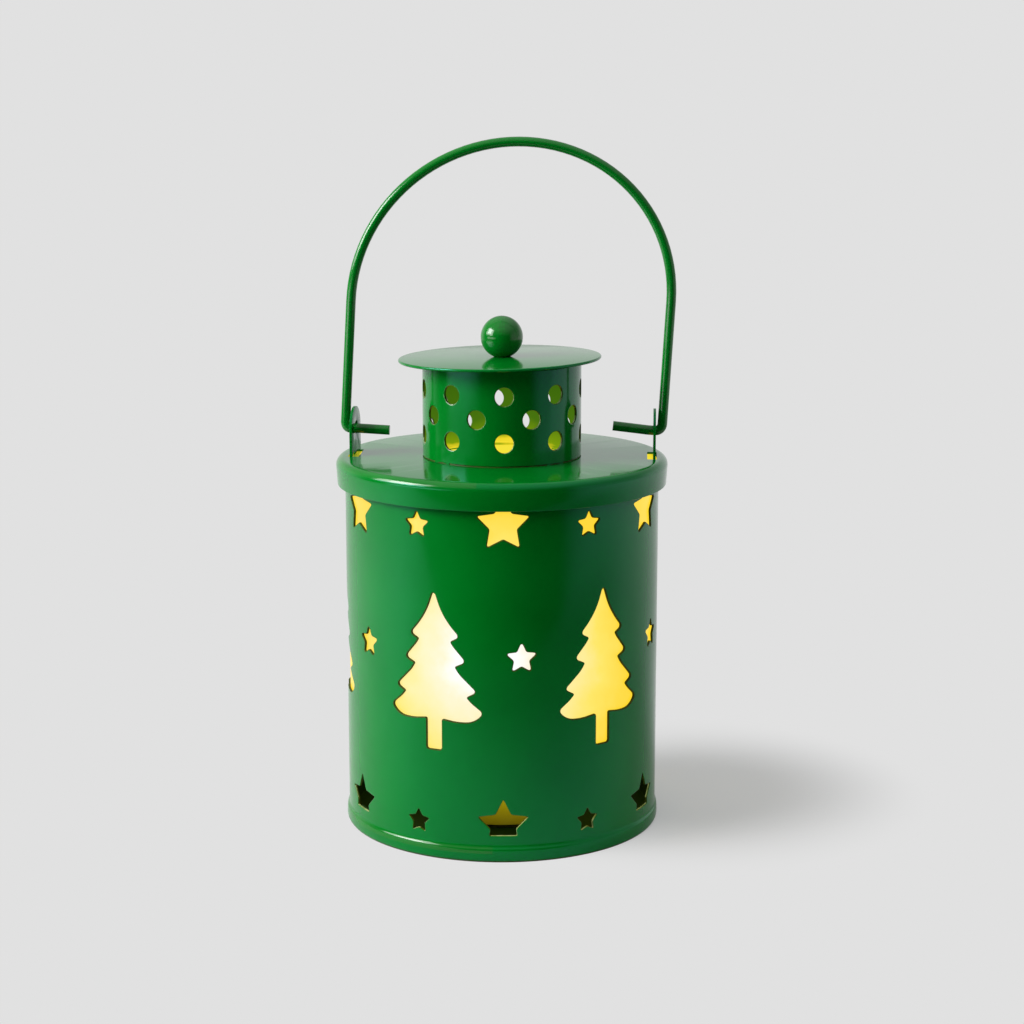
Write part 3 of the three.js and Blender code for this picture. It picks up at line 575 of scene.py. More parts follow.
def round_normals(piece, *radii):
    """Points the shading normals of a rolled wall straight out or in, so that gloss stays calm at holes."""
    mesh = piece.data
    normals = [Vector((0, 0, 0))] * len(mesh.loops)
    for polygon in mesh.polygons:
        corners = [mesh.vertices[v].co for v in polygon.vertices]
        for radius in radii:
            if all(abs(math.hypot(c.x, c.y) - radius * MM) < 2e-6 for c in corners):
                outward = polygon.normal.dot(Vector((polygon.center.x, polygon.center.y, 0))) > 0
                for loop in polygon.loop_indices:
                    spot = mesh.vertices[mesh.loops[loop].vertex_index].co
                    normals[loop] = (1 if outward else -1) * Vector((spot.x, spot.y, 0)).normalized()
    mesh.normals_split_custom_set(normals)


print("cut edges are rounded by", CUT_ROUNDING, "mm")

# %% [markdown]
# ## Stars and trees
#
# The can has five repeats of a star, a small star and a fir tree, with a plain strip for the seam at the
# back. The stars have softened points, the small ones more so. The feet of the low stars end at the rim of
# the foot pan. A tree is drawn as half of its outline, with loose corners along each bough that roundings
# turn into soft curves, and then reflected.

# %% Star and tree outlines
WAIST_ROUNDING = 0.4
FOOT_ROUNDING = 0.3


def star(radius, waist, softness, low=None):
    """Ten corners (x, y, rounding); with low, the two lower points end flat at that height."""
    points = []
    for corner in range(10):
        angle = math.pi * corner / 5
        reach = radius if corner % 2 == 0 else waist
        rounding = WAIST_ROUNDING if corner % 2 else softness
        points.append((reach * math.sin(angle), reach * math.cos(angle), rounding))
    if low is not None:
        for foot, hip in ((4, 3), (6, 7)):
            share = (low - points[hip][1]) / (points[foot][1] - points[hip][1])
            across = points[hip][0] + share * (points[foot][0] - points[hip][0])
            points[foot] = (across, low, FOOT_ROUNDING)
        del points[5]
    return points


TREE_HALF = [
    (0.0, 36.25, 0.0), (0.36, 36.1, 0.25), (1.45, 33.0, 1.1), (2.65, 30.75, 1.1), (4.2, 28.65, 0.8),
    (6.2, 26.45, 1.0), (3.95, 25.3, 0.4), (4.6, 24.2, 0.6), (7.7, 20.7, 1.1), (5.0, 19.5, 0.4),
    (6.0, 17.85, 0.9), (10.2, 13.8, 0.95), (7.75, 12.5, 0.4), (8.8, 11.25, 0.8), (11.75, 8.9, 1.0),
    (9.6, 6.75, 1.5), (6.0, 6.5, 1.5), (1.85, 7.1, 0.55), (1.85, -0.3, 0.55),
]
TREE = TREE_HALF + [(-x, y, r) for x, y, r in reversed(TREE_HALF[1:])]
print("a tree has", len(TREE), "corners")

# %% [markdown]
# ## The pattern on the wall
#
# Three rows: stars under the lid, trees with a small star between them in the middle, and stars at the foot.
# Each cut is given by its turn round the can and its height, and lands on the flat blank as arc length.

# %% Cuts in the wall
BODY_RADIUS = 37.25
REPEATS = 5
PITCH = 63.0
STAR_TURN = 3.8
TREE_TURN = 10.25
TOP_ROW = 78.9
SMALL_TOP_ROW = 78.1
MIDDLE_STAR_ROW = 48.2
TREE_FOOT = 26.45
BOTTOM_ROW = 9.0
SMALL_BOTTOM_ROW = 8.5
LOW_CUT = 6.5


def wall_holes(bm):
    """Draws every star and tree on the flat blank of the wall."""
    for repeat in range(REPEATS):
        turn = (repeat - (REPEATS - 1) / 2) * PITCH
        cuts = [
            (star(6.33, 3.2, 0.62), STAR_TURN + turn, TOP_ROW),
            (star(6.1, 3.05, 0.4, LOW_CUT - BOTTOM_ROW), STAR_TURN + turn, BOTTOM_ROW),
            (star(3.22, 1.58, 0.55), STAR_TURN + turn - PITCH / 2, SMALL_TOP_ROW),
            (star(2.9, 1.54, 0.3), STAR_TURN + turn - PITCH / 2, SMALL_BOTTOM_ROW),
            (star(3.83, 1.8, 0.9), TREE_TURN + turn, MIDDLE_STAR_ROW),
            (TREE, TREE_TURN + turn - PITCH / 2, TREE_FOOT),
        ]
        for shape, azimuth, height in cuts:
            along = math.radians(azimuth) * BODY_RADIUS
            outline(bm, [(x + along, y + height, r) for x, y, r in shape], segments=4)


print("the wall has", REPEATS * 6, "cuts")

# %% [markdown]
# ## The body wall
#
# The rolled tube ends low down in a bead, where the sheet is curled in to stiffen the foot. The bead is
# turned as a section of its own and welded to the tube. Its upper left gets the white-glinting coat as a
# painted highlight, and its underside the dark edge finish as painted contact shade. Round the cuts that
# have film behind them the edge is dark.

# %% Body wall with its foot bead
BODY_TOP = 88.0
BODY_INNER = BODY_RADIUS - SHEET
BEAD_HEIGHT = 4.6
BEAD_RADIUS = 37.75
BEAD_INNER = 35.4
FILM_FOOT = 17.2

bm = rolled_sheet(BODY_RADIUS, SHEET, BEAD_HEIGHT, BODY_TOP, wall_holes, ROUND_STEPS, lit_below=FILM_FOOT)
foot_faces = [f for f in bm.faces if all(v.co.z < BEAD_HEIGHT * MM + 1e-6 for v in f.verts)]
bmesh.ops.delete(bm, geom=foot_faces, context="FACES_ONLY")
bead = [
    (BODY_RADIUS, BEAD_HEIGHT, 0), (BODY_RADIUS, 3.9, 0.5), (BEAD_RADIUS, 3.2, 0.9), (BEAD_RADIUS, 0.0, 1.1),
    (BEAD_INNER, 0.0, 0.25), (BEAD_INNER, 1.1, 0.25), (BODY_INNER, 1.1, 0), (BODY_INNER, BEAD_HEIGHT, 0),
]
turned(bm, bead, ROUND_STEPS, closed=False)
bmesh.ops.remove_doubles(bm, verts=bm.verts, dist=2e-6)
bmesh.ops.recalc_face_normals(bm, faces=bm.faces)
for face in bm.faces:
    middle = face.calc_center_median()
    # The bead's upper left gets the white-glinting coat: a painted highlight where the softbox shines.
    glint_side = 2.4 * MM < middle.z < 4 * MM and middle.xy.length > BODY_RADIUS * MM and middle.x < 0
    # The bead's underside gets the dark finish: painted contact shade.
    underside = middle.z < 0.45 * MM and middle.xy.length > 36.5 * MM
    before_film = face.material_index == POOLED_AND_GLINT and middle.z > FILM_FOOT * MM
    if glint_side:
        face.material_index = POOLED_AND_GLINT
    elif underside or before_film:
        face.material_index = DARK_EDGE_AND_SHADE
body_wall = make_piece(bm, "body_wall", [enamel, lacquer, dark_edge_and_shade, pooled_and_glint_enamel, painted_edge_light],
                       "lantern", "green_enamel", "body_shell")
round_normals(body_wall, BODY_RADIUS, BODY_INNER)

# %% [markdown]
# ## The lock seam
#
# At the back the two edges of the sheet are hooked into each other and pressed flat, which leaves a low
# ridge. It is a narrow strip made flat, with bevelled long edges, and bent like the wall.

# %% Seam
SEAM_AZIMUTH = STAR_TURN - PITCH / 4 + 180
SEAM_HALF = 2.0
SEAM_TOP = 82.1
SEAM_RISE = 0.4
SEAM_DEPTH = 0.65

bm = bmesh.new()
outline(bm, [(-SEAM_HALF, BEAD_HEIGHT, 0), (SEAM_HALF, BEAD_HEIGHT, 0), (SEAM_HALF, SEAM_TOP, 0),
             (-SEAM_HALF, SEAM_TOP, 0)])
plate(bm, -SEAM_DEPTH, dissolve=True)
bmesh.ops.translate(bm, verts=bm.verts, vec=(0, 0, SEAM_RISE * MM))
ridge = [e for e in bm.edges if all(v.co.z > 0.3 * MM for v in e.verts) and e.calc_face_angle(0) > 1]
soften(bm, ridge, 0.3, segments=3)
for across in (-1.2, -0.6, 0.0, 0.6, 1.2):
    score(bm, across * MM)
bend(bm, BODY_RADIUS, SEAM_AZIMUTH)
make_piece(bm, "body_seam", [enamel], "lantern", "green_enamel", "body_shell")

# %% [markdown]
# ## The yellow film and its glow
#
# Behind the wall stands a loose tube of frosted yellow plastic film. It scatters the candle's light: nearest
# to the lamp it bleaches almost to white, and further away it stays a warm yellow. A real scattering film
# would need many light paths, so the glow is painted on it as emission, by distance from the lamp's height
# and from the front and the back of the tube. Its inner face, seen through the vents, glows a fuller yellow,
# also painted as emission.

# %% Film finishes
FILM_RADIUS = 36.65
GLOW_HEIGHT = 48.0
GLOW_AZIMUTH = -2.0
GLOW_REACH = 40 * MM
FROST = 6 * MM

film, tree, place = blank("frosted_yellow_film")
spot = add(tree, "SeparateXYZ", {"Vector": place})
front = add(tree, "Math", {0: spot.outputs["Y"], 1: -1.0}, operation="MULTIPLY")
azimuth = add(tree, "Math", {0: spot.outputs["X"], 1: front}, operation="ARCTAN2")
turn = add(tree, "Math", {0: azimuth, 1: math.radians(GLOW_AZIMUTH)}, operation="SUBTRACT")
lobe = add(tree, "Math", {0: turn, 1: math.pi / 2}, operation="PINGPONG")
across = add(tree, "Math", {0: lobe, 1: FILM_RADIUS * MM}, operation="MULTIPLY")
above = add(tree, "Math", {0: spot.outputs["Z"], 1: GLOW_HEIGHT * MM}, operation="SUBTRACT")
offset = add(tree, "CombineXYZ", {"X": across, "Y": above})
reach = add(tree, "VectorMath", {0: offset}, operation="LENGTH")
fade = add(tree, "MapRange", {"Value": reach.outputs["Value"], "From Min": 0.0, "From Max": GLOW_REACH})
frost = add(tree, "TexNoise", {"Vector": place, "Scale": 1 / FROST, "Detail": 3.0})
cloud = add(tree, "MapRange", {"Value": frost, "From Min": 0.3, "From Max": 0.7,
                               "To Min": -0.05, "To Max": 0.05})
level = add(tree, "Math", {0: fade, 1: cloud}, operation="ADD")
glow = add(tree, "ValToRGB", {"Fac": level}, stops=[
    (0.15, colour("#ffffff")), (0.2, colour("#fffcf3")), (0.3, colour("#fff3cd")), (0.5, colour("#ffec9b")),
    (0.7, colour("#ffe45e")), (0.9, colour("#fed72d")), (1.0, colour("#fdd62a"))])
sheet = add(tree, "BsdfPrincipled", {
    "Base Color": colour("#343434"), "Roughness": 0.35, "Emission Color": glow,
    "Emission Strength": 1.0})
add(tree, "OutputMaterial", {"Surface": sheet})

# The inner face glows evenly: painted emission.
film_back, tree, place = blank("frosted_film_inside")
frost, tone = mottle(tree, place, FROST, 3.0, "#fff03c", "#fffa5a")
sheet = add(tree, "BsdfPrincipled", {
    "Base Color": colour("#1c1804"), "Roughness": 0.6, "Emission Color": tone, "Emission Strength": 1.0})
add(tree, "OutputMaterial", {"Surface": sheet})
print("film nodes:", len(film.node_tree.nodes))

# %% [markdown]
# ## The film tube
#
# The film is a thin closed ring, turned from a section with rounded corners. It stands right behind the
# wall, so a cut shows almost no gap at its edge. Its outer face gets the glow and the rest the fuller
# yellow.

# %% Film tube
FILM_INNER = 36.25
FILM_TOP = 82.1

bm = ring([(FILM_RADIUS, FILM_FOOT, 0.1), (FILM_RADIUS, FILM_TOP, 0.1), (FILM_INNER, FILM_TOP, 0.1),
           (FILM_INNER, FILM_FOOT, 0.1)], ROUND_STEPS, segments=2)
for face in bm.faces:
    middle = face.calc_center_median()
    face.material_index = OUTSIDE if middle.xy.length > (FILM_RADIUS - 0.1) * MM else INSIDE
make_piece(bm, "film_tube", [film, film_back], "lantern", "yellow_film", "diffuser_sleeve")

# %% [markdown]
# ## The foot pan
#
# A pressed dish that closes the can from below, with an upturned flange against the wall and a round opening
# under the candle. It is one turned section, painted below and only lacquered inside.

# %% Foot pan
PAN_OPENING = 15.9
PAN_RADIUS = 36.3
PAN_FLANGE = 6.3

bm = ring([(PAN_OPENING, 1.4, 0.15), (PAN_RADIUS, 1.4, 0.6), (PAN_RADIUS, PAN_FLANGE, 0.15),
           (35.8, PAN_FLANGE, 0.15), (35.8, 1.9, 0.4), (PAN_OPENING, 1.9, 0.15)], ROUND_STEPS)
for face in bm.faces:
    inward = face.normal.xy.dot(face.calc_center_median().xy) < 0
    face.material_index = INSIDE if face.normal.z > 0.2 or inward else OUTSIDE
make_piece(bm, "foot_pan", [enamel, lacquer], "lantern", "green_enamel", "base_pan")

# %% [markdown]
# ## The lid
#
# A pressed pan with a flat top, a rounded shoulder and a short skirt that tapers a little. The ears of the
# bail come up through two slots, and four narrow slits take the tabs of the chimney. The ring is turned, and
# then each slot is punched: planes score the flat top and underside, the scored pieces are removed and the
# two openings are bridged, which leaves the ring's gloss faces as they were.

# %% Slot punch
LID_TOP = 88.7
LID_UNDER = 88.2


def punch(bm, azimuth, inner, outer, half_width):
    """Cuts a straight slot through the flat part of the lid, facing one azimuth."""
    along = Vector((math.sin(math.radians(azimuth)), -math.cos(math.radians(azimuth)), 0))
    aside = Vector((-along.y, along.x, 0))
    flat = [f for f in bm.faces if abs(f.normal.z) > 0.99
            and f.calc_center_median().z > (LID_UNDER - 0.1) * MM
            and f.calc_center_median().xy.normalized().dot(along.xy) > 0.7]
    for co, no in ((along * inner, along), (along * outer, along), (aside * half_width, aside),
                   (aside * -half_width, aside)):
        geom = {item for f in flat for item in (f, *f.edges, *f.verts)}
        cut = bmesh.ops.bisect_plane(bm, geom=list(geom), dist=1e-7, plane_co=co * MM, plane_no=no)
        flat = [item for item in cut["geom"] if isinstance(item, bmesh.types.BMFace)]

    def in_slot(face):
        middle = face.calc_center_median() / MM
        return inner < middle.dot(along) < outer and abs(middle.dot(aside)) < half_width

    hole = [f for f in flat if in_slot(f)]
    rim = {e for f in hole for e in f.edges if any(other not in hole for other in e.link_faces)}
    bmesh.ops.delete(bm, geom=hole, context="FACES")
    bmesh.ops.bridge_loops(bm, edges=[e for e in rim if e.is_valid])


print("the lid is", round(LID_TOP - LID_UNDER, 2), "mm thick")

# %% [markdown]
# ## Pressing and punching the lid
#
# Two slots for the ears lie on X, the right one a little further out, as its ear is. The left of the
# shoulder gets the white-glinting coat, where the softbox draws a pale line: a painted highlight. Round the
# throat only lacquer reaches.

# %% Lid
LID_THROAT = 16.7
THROAT_EDGE = 18.3
SKIRT_FOOT = 82.3
EAR_SLOT_HALF = 5.3
EAR_SLOTS = ((-90, 33.65, 36.25), (90, 34.5, 36.75))
TABS = 4
FIRST_TAB = 45
TAB_SLIT = (17.9, 18.66, 2.6)

bm = ring([(LID_THROAT, LID_TOP, 0.15), (THROAT_EDGE, LID_TOP, 0), (39.5, LID_TOP, 2.0),
           (39.05, SKIRT_FOOT, 0.15), (38.55, SKIRT_FOOT, 0.15), (39.0, LID_UNDER, 1.5),
           (THROAT_EDGE, LID_UNDER, 0), (LID_THROAT, LID_UNDER, 0.15)], ROUND_STEPS, segments=8)
for azimuth, slot_in, slot_out in EAR_SLOTS:
    punch(bm, azimuth, slot_in, slot_out, EAR_SLOT_HALF)
for tab in range(TABS):
    punch(bm, FIRST_TAB + 90 * tab, *TAB_SLIT)
bmesh.ops.recalc_face_normals(bm, faces=bm.faces)
for face in bm.faces:
    middle = face.calc_center_median()
    # The left of the shoulder gets the white-glinting coat: a painted highlight.
    shoulder = 0.3 < face.normal.z < 0.97 and middle.x < -4 * MM and middle.xy.length > 37 * MM
    face.material_index = 1 if middle.xy.length < THROAT_EDGE * MM else 2 if shoulder else 0
make_piece(bm, "lid", [enamel, lacquer, pooled_and_glint_enamel], "lantern", "green_enamel", "lid_pan")

# %% [markdown]
# ## The chimney
#
# A short tube pierced by three staggered rows of round vents, through which one sees right across it. It is
# rolled from a punched strip like the wall, and at the back left, where the strip's ends meet, the vents
# stand a little further round. Its top edge turns in under the cap.

# %% Chimney strip
COLLAR_RADIUS = 18.8
COLLAR_INNER = COLLAR_RADIUS - SHEET
COLLAR_STEPS = 96
COLLAR_FOOT = 89.0
COLLAR_TOP = 111.2
COLLAR_BEND = 110.2
COLLAR_LIP = 14.8
VENT_RADIUS = 2.2
VENT_ROW = 94.2
VENT_PITCH = 5.4
VENT_AZIMUTHS = [5, 25, 45, 65, 85, 105, 126, 150, 168.5, -171.3, -146.5, -124, -108, -92, -74, -55,
                 -35, -15]


def vents(bm):
    """Draws the vents on the flat strip."""
    for row in range(3):
        for turn in VENT_AZIMUTHS[row % 2::2]:
            middle = (math.radians(turn) * COLLAR_RADIUS * MM, (VENT_ROW + VENT_PITCH * row) * MM, 0)
            bmesh.ops.create_circle(bm, cap_ends=False, radius=VENT_RADIUS * MM, segments=28,
                                    matrix=Matrix.Translation(middle))


# In the chimney every cut face that looks up and to the left gets the pale copy: painted light.
bm = rolled_sheet(COLLAR_RADIUS, SHEET, COLLAR_FOOT, COLLAR_BEND, vents, COLLAR_STEPS, lit_below=COLLAR_BEND)
top_faces = [f for f in bm.faces if all(v.co.z > COLLAR_BEND * MM - 1e-6 for v in f.verts)]
bmesh.ops.delete(bm, geom=top_faces, context="FACES_ONLY")
turned(bm, [(COLLAR_RADIUS, COLLAR_BEND, 0), (COLLAR_RADIUS, COLLAR_TOP, 0.5), (COLLAR_LIP, COLLAR_TOP, 0.1),
            (COLLAR_LIP, COLLAR_TOP - SHEET, 0.1), (COLLAR_INNER, COLLAR_TOP - SHEET, 0),
            (COLLAR_INNER, COLLAR_BEND, 0)], COLLAR_STEPS, closed=False)
bmesh.ops.remove_doubles(bm, verts=bm.verts, dist=2e-6)
print("the strip has", len(bm.faces), "faces")

# %% [markdown]
# ## The chimney's foot
#
# The tube draws in to a joint on the lid, and four tabs there go through the lid and are bent out below
# it. The joint is a small turned ring whose outer face gets the dark edge finish as painted shade in the
# gap. A tab is an outline of its side, extruded to its width and turned round.

# %% Chimney foot and tabs
TAB_WIDTH = 5

known = set(bm.faces)
turned(bm, [(COLLAR_INNER, 88.6, 0), (18.7, 88.6, 0), (18.55, 89.1, 0), (COLLAR_INNER, 89.1, 0)],
       COLLAR_STEPS)
for face in set(bm.faces) - known:
    # The joint ring's outer face gets the dark finish: painted shade in the gap on the lid.
    outer = face.calc_center_median().xy.length > (COLLAR_INNER + 0.05) * MM
    face.material_index = JOINT_SHADE if outer else INSIDE
for tab in range(TABS):
    strap = bmesh.new()
    outline(strap, [(18.35, 89.0, 0), (18.35, 87.5, 0.4), (21.8, 87.5, 0.1), (21.8, 88.0, 0.1),
                    (18.6, 88.0, 0.1), (18.6, 89.0, 0)])
    plate(strap, TAB_WIDTH, dissolve=True)
    bmesh.ops.translate(strap, verts=strap.verts, vec=(0, 0, -TAB_WIDTH / 2 * MM))
    tilt(strap, 90, "X")
    tilt(strap, FIRST_TAB + 90 * tab, "Z")
    join(bm, strap)
bmesh.ops.recalc_face_normals(bm, faces=bm.faces)
collar = make_piece(bm, "chimney", [enamel, lacquer, dark_edge_and_shade, pooled_and_glint_enamel, painted_edge_light, dark_edge_and_shade],
                    "lantern", "green_enamel", "chimney_collar")
round_normals(collar, COLLAR_RADIUS, COLLAR_INNER)

# %% [markdown]
# ## The cap
#
# A disc whose edge is rolled under. It sits a little askew, as a cap held by one screw does. The section is
# turned straight and the whole disc tilted afterwards, about its own underside.

# %% Cap
CAP_RADIUS = 24.0
CAP_BORE = 1.4
CAP_TOP = 111.9
CAP_UNDER = 111.4
CAP_ROLL = 111.2
CAP_TILT = 1.2
CAP_SHIFT = (-0.5 * MM, 0, 0.2 * MM)

bm = ring([(CAP_BORE, CAP_TOP, 0), (CAP_RADIUS, CAP_TOP, 0.35), (CAP_RADIUS, CAP_ROLL, 0.34),
           (23.3, CAP_ROLL, 0.15), (23.3, CAP_UNDER, 0.05), (CAP_BORE, CAP_UNDER, 0)], ROUND_STEPS)
tilt(bm, -CAP_TILT, "Y", (0, 0, CAP_UNDER * MM))
bmesh.ops.translate(bm, verts=bm.verts, vec=CAP_SHIFT)
make_piece(bm, "cap", [enamel], "lantern", "green_enamel", "chimney_cap")

# %% [markdown]
# ## The ball
#
# A ball of turned wood or plastic in the same paint, screwed on from below. Half a circle is turned, the
# foot is cut flat by a plane, and the screw's bore is an inset that is pushed in.

# %% Ball
BALL_RADIUS = 5.0
BALL_MIDDLE = 116.75
BALL_FOOT = 112.0
BORE_DEPTH = 5.5
BALL_TOP = BALL_MIDDLE + BALL_RADIUS
BALL_LOW = BALL_MIDDLE - BALL_RADIUS

bm = bmesh.new()
turned(bm, [(0, BALL_TOP, 0), (BALL_RADIUS, BALL_TOP, BALL_RADIUS), (BALL_RADIUS, BALL_LOW, BALL_RADIUS),
            (0, BALL_LOW, 0)], 64, closed=False, segments=16)
bmesh.ops.dissolve_degenerate(bm, dist=1e-7, edges=bm.edges)
bmesh.ops.bisect_plane(bm, geom=bm.verts[:] + bm.edges[:] + bm.faces[:], dist=1e-7,
                       plane_co=(0, 0, BALL_FOOT * MM), plane_no=(0, 0, -1), clear_outer=True)
flat = bmesh.ops.contextual_create(bm, geom=[e for e in bm.edges if e.is_boundary])["faces"]
bmesh.ops.inset_region(bm, faces=flat, thickness=0.13 * MM, use_even_offset=True)
bore = bmesh.ops.extrude_face_region(bm, geom=flat)["geom"]
bore_end = [item for item in bore if isinstance(item, bmesh.types.BMVert)]
bmesh.ops.translate(bm, verts=bore_end, vec=(0, 0, BORE_DEPTH * MM))
bmesh.ops.delete(bm, geom=[f for f in flat if f.is_valid], context="FACES")
bmesh.ops.recalc_face_normals(bm, faces=bm.faces)
make_piece(bm, "ball", [pooled_and_glint_enamel], "lantern", "green_enamel", "ball_knob")

# %% [markdown]
# ## The ears
#
# Two flat strips stand inside the wall and come up through the lid, each with a round top and a hole for the
# bail. The outline and its hole are filled, given thickness and bevelled all round, and turned into place.
# The left one is bent a little askew, so that more of its inner face shows from the front. Below the lid
# they are narrower, to stand clear of the round wall.

# %% Ears
EAR_INNER = 35.35
EAR_THICKNESS = 0.6
EAR_HALF = 5
EAR_TOP = 100
EAR_FOOT = 82.4
TAIL_HALF = 3.6
EAR_HOLE = 1.6
PIVOT_HEIGHT = 95.0
STANDING = Matrix(((0, 0, 1), (1, 0, 0), (0, 1, 0)))

for name, node, start, skew in (("ear_left", "bail_ear_left", 0.15 - EAR_INNER - EAR_THICKNESS, 5),
                                ("ear_right", "bail_ear_right", EAR_INNER + 0.5, 0)):
    bm = bmesh.new()
    outline(bm, [(-TAIL_HALF, EAR_FOOT, 0.4), (TAIL_HALF, EAR_FOOT, 0.4), (TAIL_HALF, BODY_TOP, 0.2),
                 (EAR_HALF, BODY_TOP, 0.2), (EAR_HALF, EAR_TOP, EAR_HALF), (-EAR_HALF, EAR_TOP, EAR_HALF),
                 (-EAR_HALF, BODY_TOP, 0.2), (-TAIL_HALF, BODY_TOP, 0.2)], segments=20)
    bmesh.ops.create_circle(bm, cap_ends=False, radius=EAR_HOLE * MM, segments=32,
                            matrix=Matrix.Translation((0, PIVOT_HEIGHT * MM, 0)))
    plate(bm, EAR_THICKNESS)
    soften(bm, [e for e in bm.edges if e.calc_face_angle(0) > 1.3], 0.12, segments=2)
    bmesh.ops.rotate(bm, verts=bm.verts, matrix=STANDING)
    bmesh.ops.translate(bm, verts=bm.verts, vec=(start * MM, 0, 0))
    tilt(bm, -skew, "Z", (start * MM, -EAR_HALF * MM, 0))
    make_piece(bm, name, [enamel], "lantern", "green_enamel", node)

# %% [markdown]
# ## The bail's route
#
# Wire of 2.3 mm, bent cold: a crown like half an ellipse, straight legs, a tight bend and an end that goes
# in through the ear, the left one dipping and the right one rising. The route is an open outline whose bends
# are vertex bevels. A bevel leaves its points unsorted, so the line is then walked from one end to the
# other.

# %% Bail route
LEGS = {-1: 37.5, 1: 37.75}
CROWN_FOOT = 125.5
CROWN_RISE = 36.9
CROWN_STEPS = 28


def half_bail(side, end, slope):
    """The route on one side, from the end inside the ear up to the crown."""
    end_height = PIVOT_HEIGHT + (EAR_INNER - end) * math.tan(math.radians(slope))
    leg = LEGS[side]
    half = [(end, end_height, 0), (EAR_INNER, PIVOT_HEIGHT, 1.0), (leg, PIVOT_HEIGHT, 1.6)]
    for step in range(CROWN_STEPS):
        angle = math.pi / 2 * step / CROWN_STEPS
        half.append((leg * math.cos(angle), CROWN_FOOT + CROWN_RISE * math.sin(angle), 0))
    return [(side * x, z, rounding) for x, z, rounding in half]


route = half_bail(1, 26.1, 6.5)
route += [(0, CROWN_FOOT + CROWN_RISE, 0)]
route += reversed(half_bail(-1, 26.9, -3))

bm = bmesh.new()
outline(bm, route, closed=False, segments=8)
ends = [v for v in bm.verts if len(v.link_edges) == 1]
vert, edge = min(ends, key=lambda v: v.co.x), None
line = [vert.co.copy()]
while True:
    onward = [e for e in vert.link_edges if e is not edge]
    if not onward:
        break
    edge = onward[0]
    vert = edge.other_vert(vert)
    line.append(vert.co.copy())
bm.free()
print("the bail's route has", len(line), "points")

# %% [markdown]
# ## The bail's wire
#
# The whole loop leans a little to the right, as in the photograph, and hangs at the bottom of its holes. A
# curve with a round bevel makes the route a tube, which keeps the wire's thickness through every bend. Its
# ends are softened, as dipped paint leaves them.

# %% Bail wire
WIRE_RADIUS = 1.15
LEAN = math.tan(math.radians(3.3))
SETTLE_X, SETTLE_Z = 0.15 * MM, -0.25 * MM

curve = bpy.data.curves.new("bail_route", "CURVE")
curve.dimensions = "3D"
curve.bevel_depth = WIRE_RADIUS * MM
curve.bevel_resolution = 6
curve.use_fill_caps = True
spline = curve.splines.new("POLY")
spline.points.add(len(line) - 1)
for point, co in zip(spline.points, line):
    point.co = (co.x + (co.y - PIVOT_HEIGHT * MM) * LEAN + SETTLE_X, 0, co.y + SETTLE_Z, 1)
carrier = bpy.data.objects.new("bail_route", curve)
scene.collection.objects.link(carrier)
tube = bpy.data.meshes.new_from_object(carrier.evaluated_get(bpy.context.evaluated_depsgraph_get()))
bpy.data.objects.remove(carrier)

bm = bmesh.new()
bm.from_mesh(tube)
bmesh.ops.remove_doubles(bm, verts=bm.verts, dist=1e-7)
bmesh.ops.recalc_face_normals(bm, faces=bm.faces)
soften(bm, [e for e in bm.edges if e.calc_face_angle(0) > 1.2], 0.4, segments=4)
make_piece(bm, "bail_wire", [wire_enamel], "bail", "green_enamel", "bail_handle")

# %% [markdown]
# ## Wax and flame
#
# The candle's cup is moulded in ivory plastic that looks like wax: cloudy, satin and slightly dimpled. The
# flame is frosted plastic. Both glow from the lamp inside them, the flame strongly and the cup only near its
# top, and both glows are painted as emission by height.

# %% Wax and flame finishes
WAX_CLOUD = 9 * MM

wax, tree, place = blank("ivory_wax_plastic")
cloud, tone = mottle(tree, place, WAX_CLOUD, 3.0, "#d8c658", "#e4d270")
warmth = add(tree, "MapRange", {"Value": add(tree, "SeparateXYZ", {"Vector": place}).outputs["Z"],
                                "From Min": 3 * MM, "From Max": 15 * MM, "To Max": 0.5})
dimple = add(tree, "Bump", {"Height": cloud, "Strength": 0.25, "Distance": 0.4 * MM})
cup = add(tree, "BsdfPrincipled", {
    "Base Color": tone, "Roughness": 0.5, "Normal": dimple,
    "Emission Color": colour("#c0b608"), "Emission Strength": warmth})
add(tree, "OutputMaterial", {"Surface": cup})

flame, tree, place = blank("lit_flame_plastic")
height = add(tree, "SeparateXYZ", {"Vector": place})
rise = add(tree, "MapRange", {"Value": height.outputs["Z"], "From Min": 19 * MM, "From Max": 42.4 * MM})
heat = add(tree, "ValToRGB", {"Fac": rise},
           stops=[(0.1, colour("#ff9a1f")), (0.45, colour("#ffe7a0")), (1.0, colour("#ffb52e"))])
body = add(tree, "BsdfPrincipled", {
    "Base Color": colour("#f4e3b0"), "Roughness": 0.4, "Emission Color": heat,
    "Emission Strength": 14.0})
add(tree, "OutputMaterial", {"Surface": body})
print("wax and flame nodes:", len(wax.node_tree.nodes), len(flame.node_tree.nodes))

# %% [markdown]
# ## The candle
#
# A cup with a rounded rim and a sunken pool, and a hollow flame that stands in the pool over the lamp. Both
# are turned from one section each, inside and outside in one line, so their walls have a real thickness.

# %% Candle cup and flame
CUP_RADIUS = 18.5
CUP_FOOT = 2.6

bm = ring([(CUP_RADIUS, CUP_FOOT, 0.2), (CUP_RADIUS, 23.0, 1.2), (16.6, 23.0, 0.9), (15.2, 21.6, 1.2),
           (6.3, 21.4, 0.3), (6.3, 20.2, 0.2), (17.3, 20.2, 0.3), (17.3, CUP_FOOT, 0.2)], COLLAR_STEPS)
make_piece(bm, "candle_cup", [wax], "lantern", "ivory_plastic", "candle_shell")

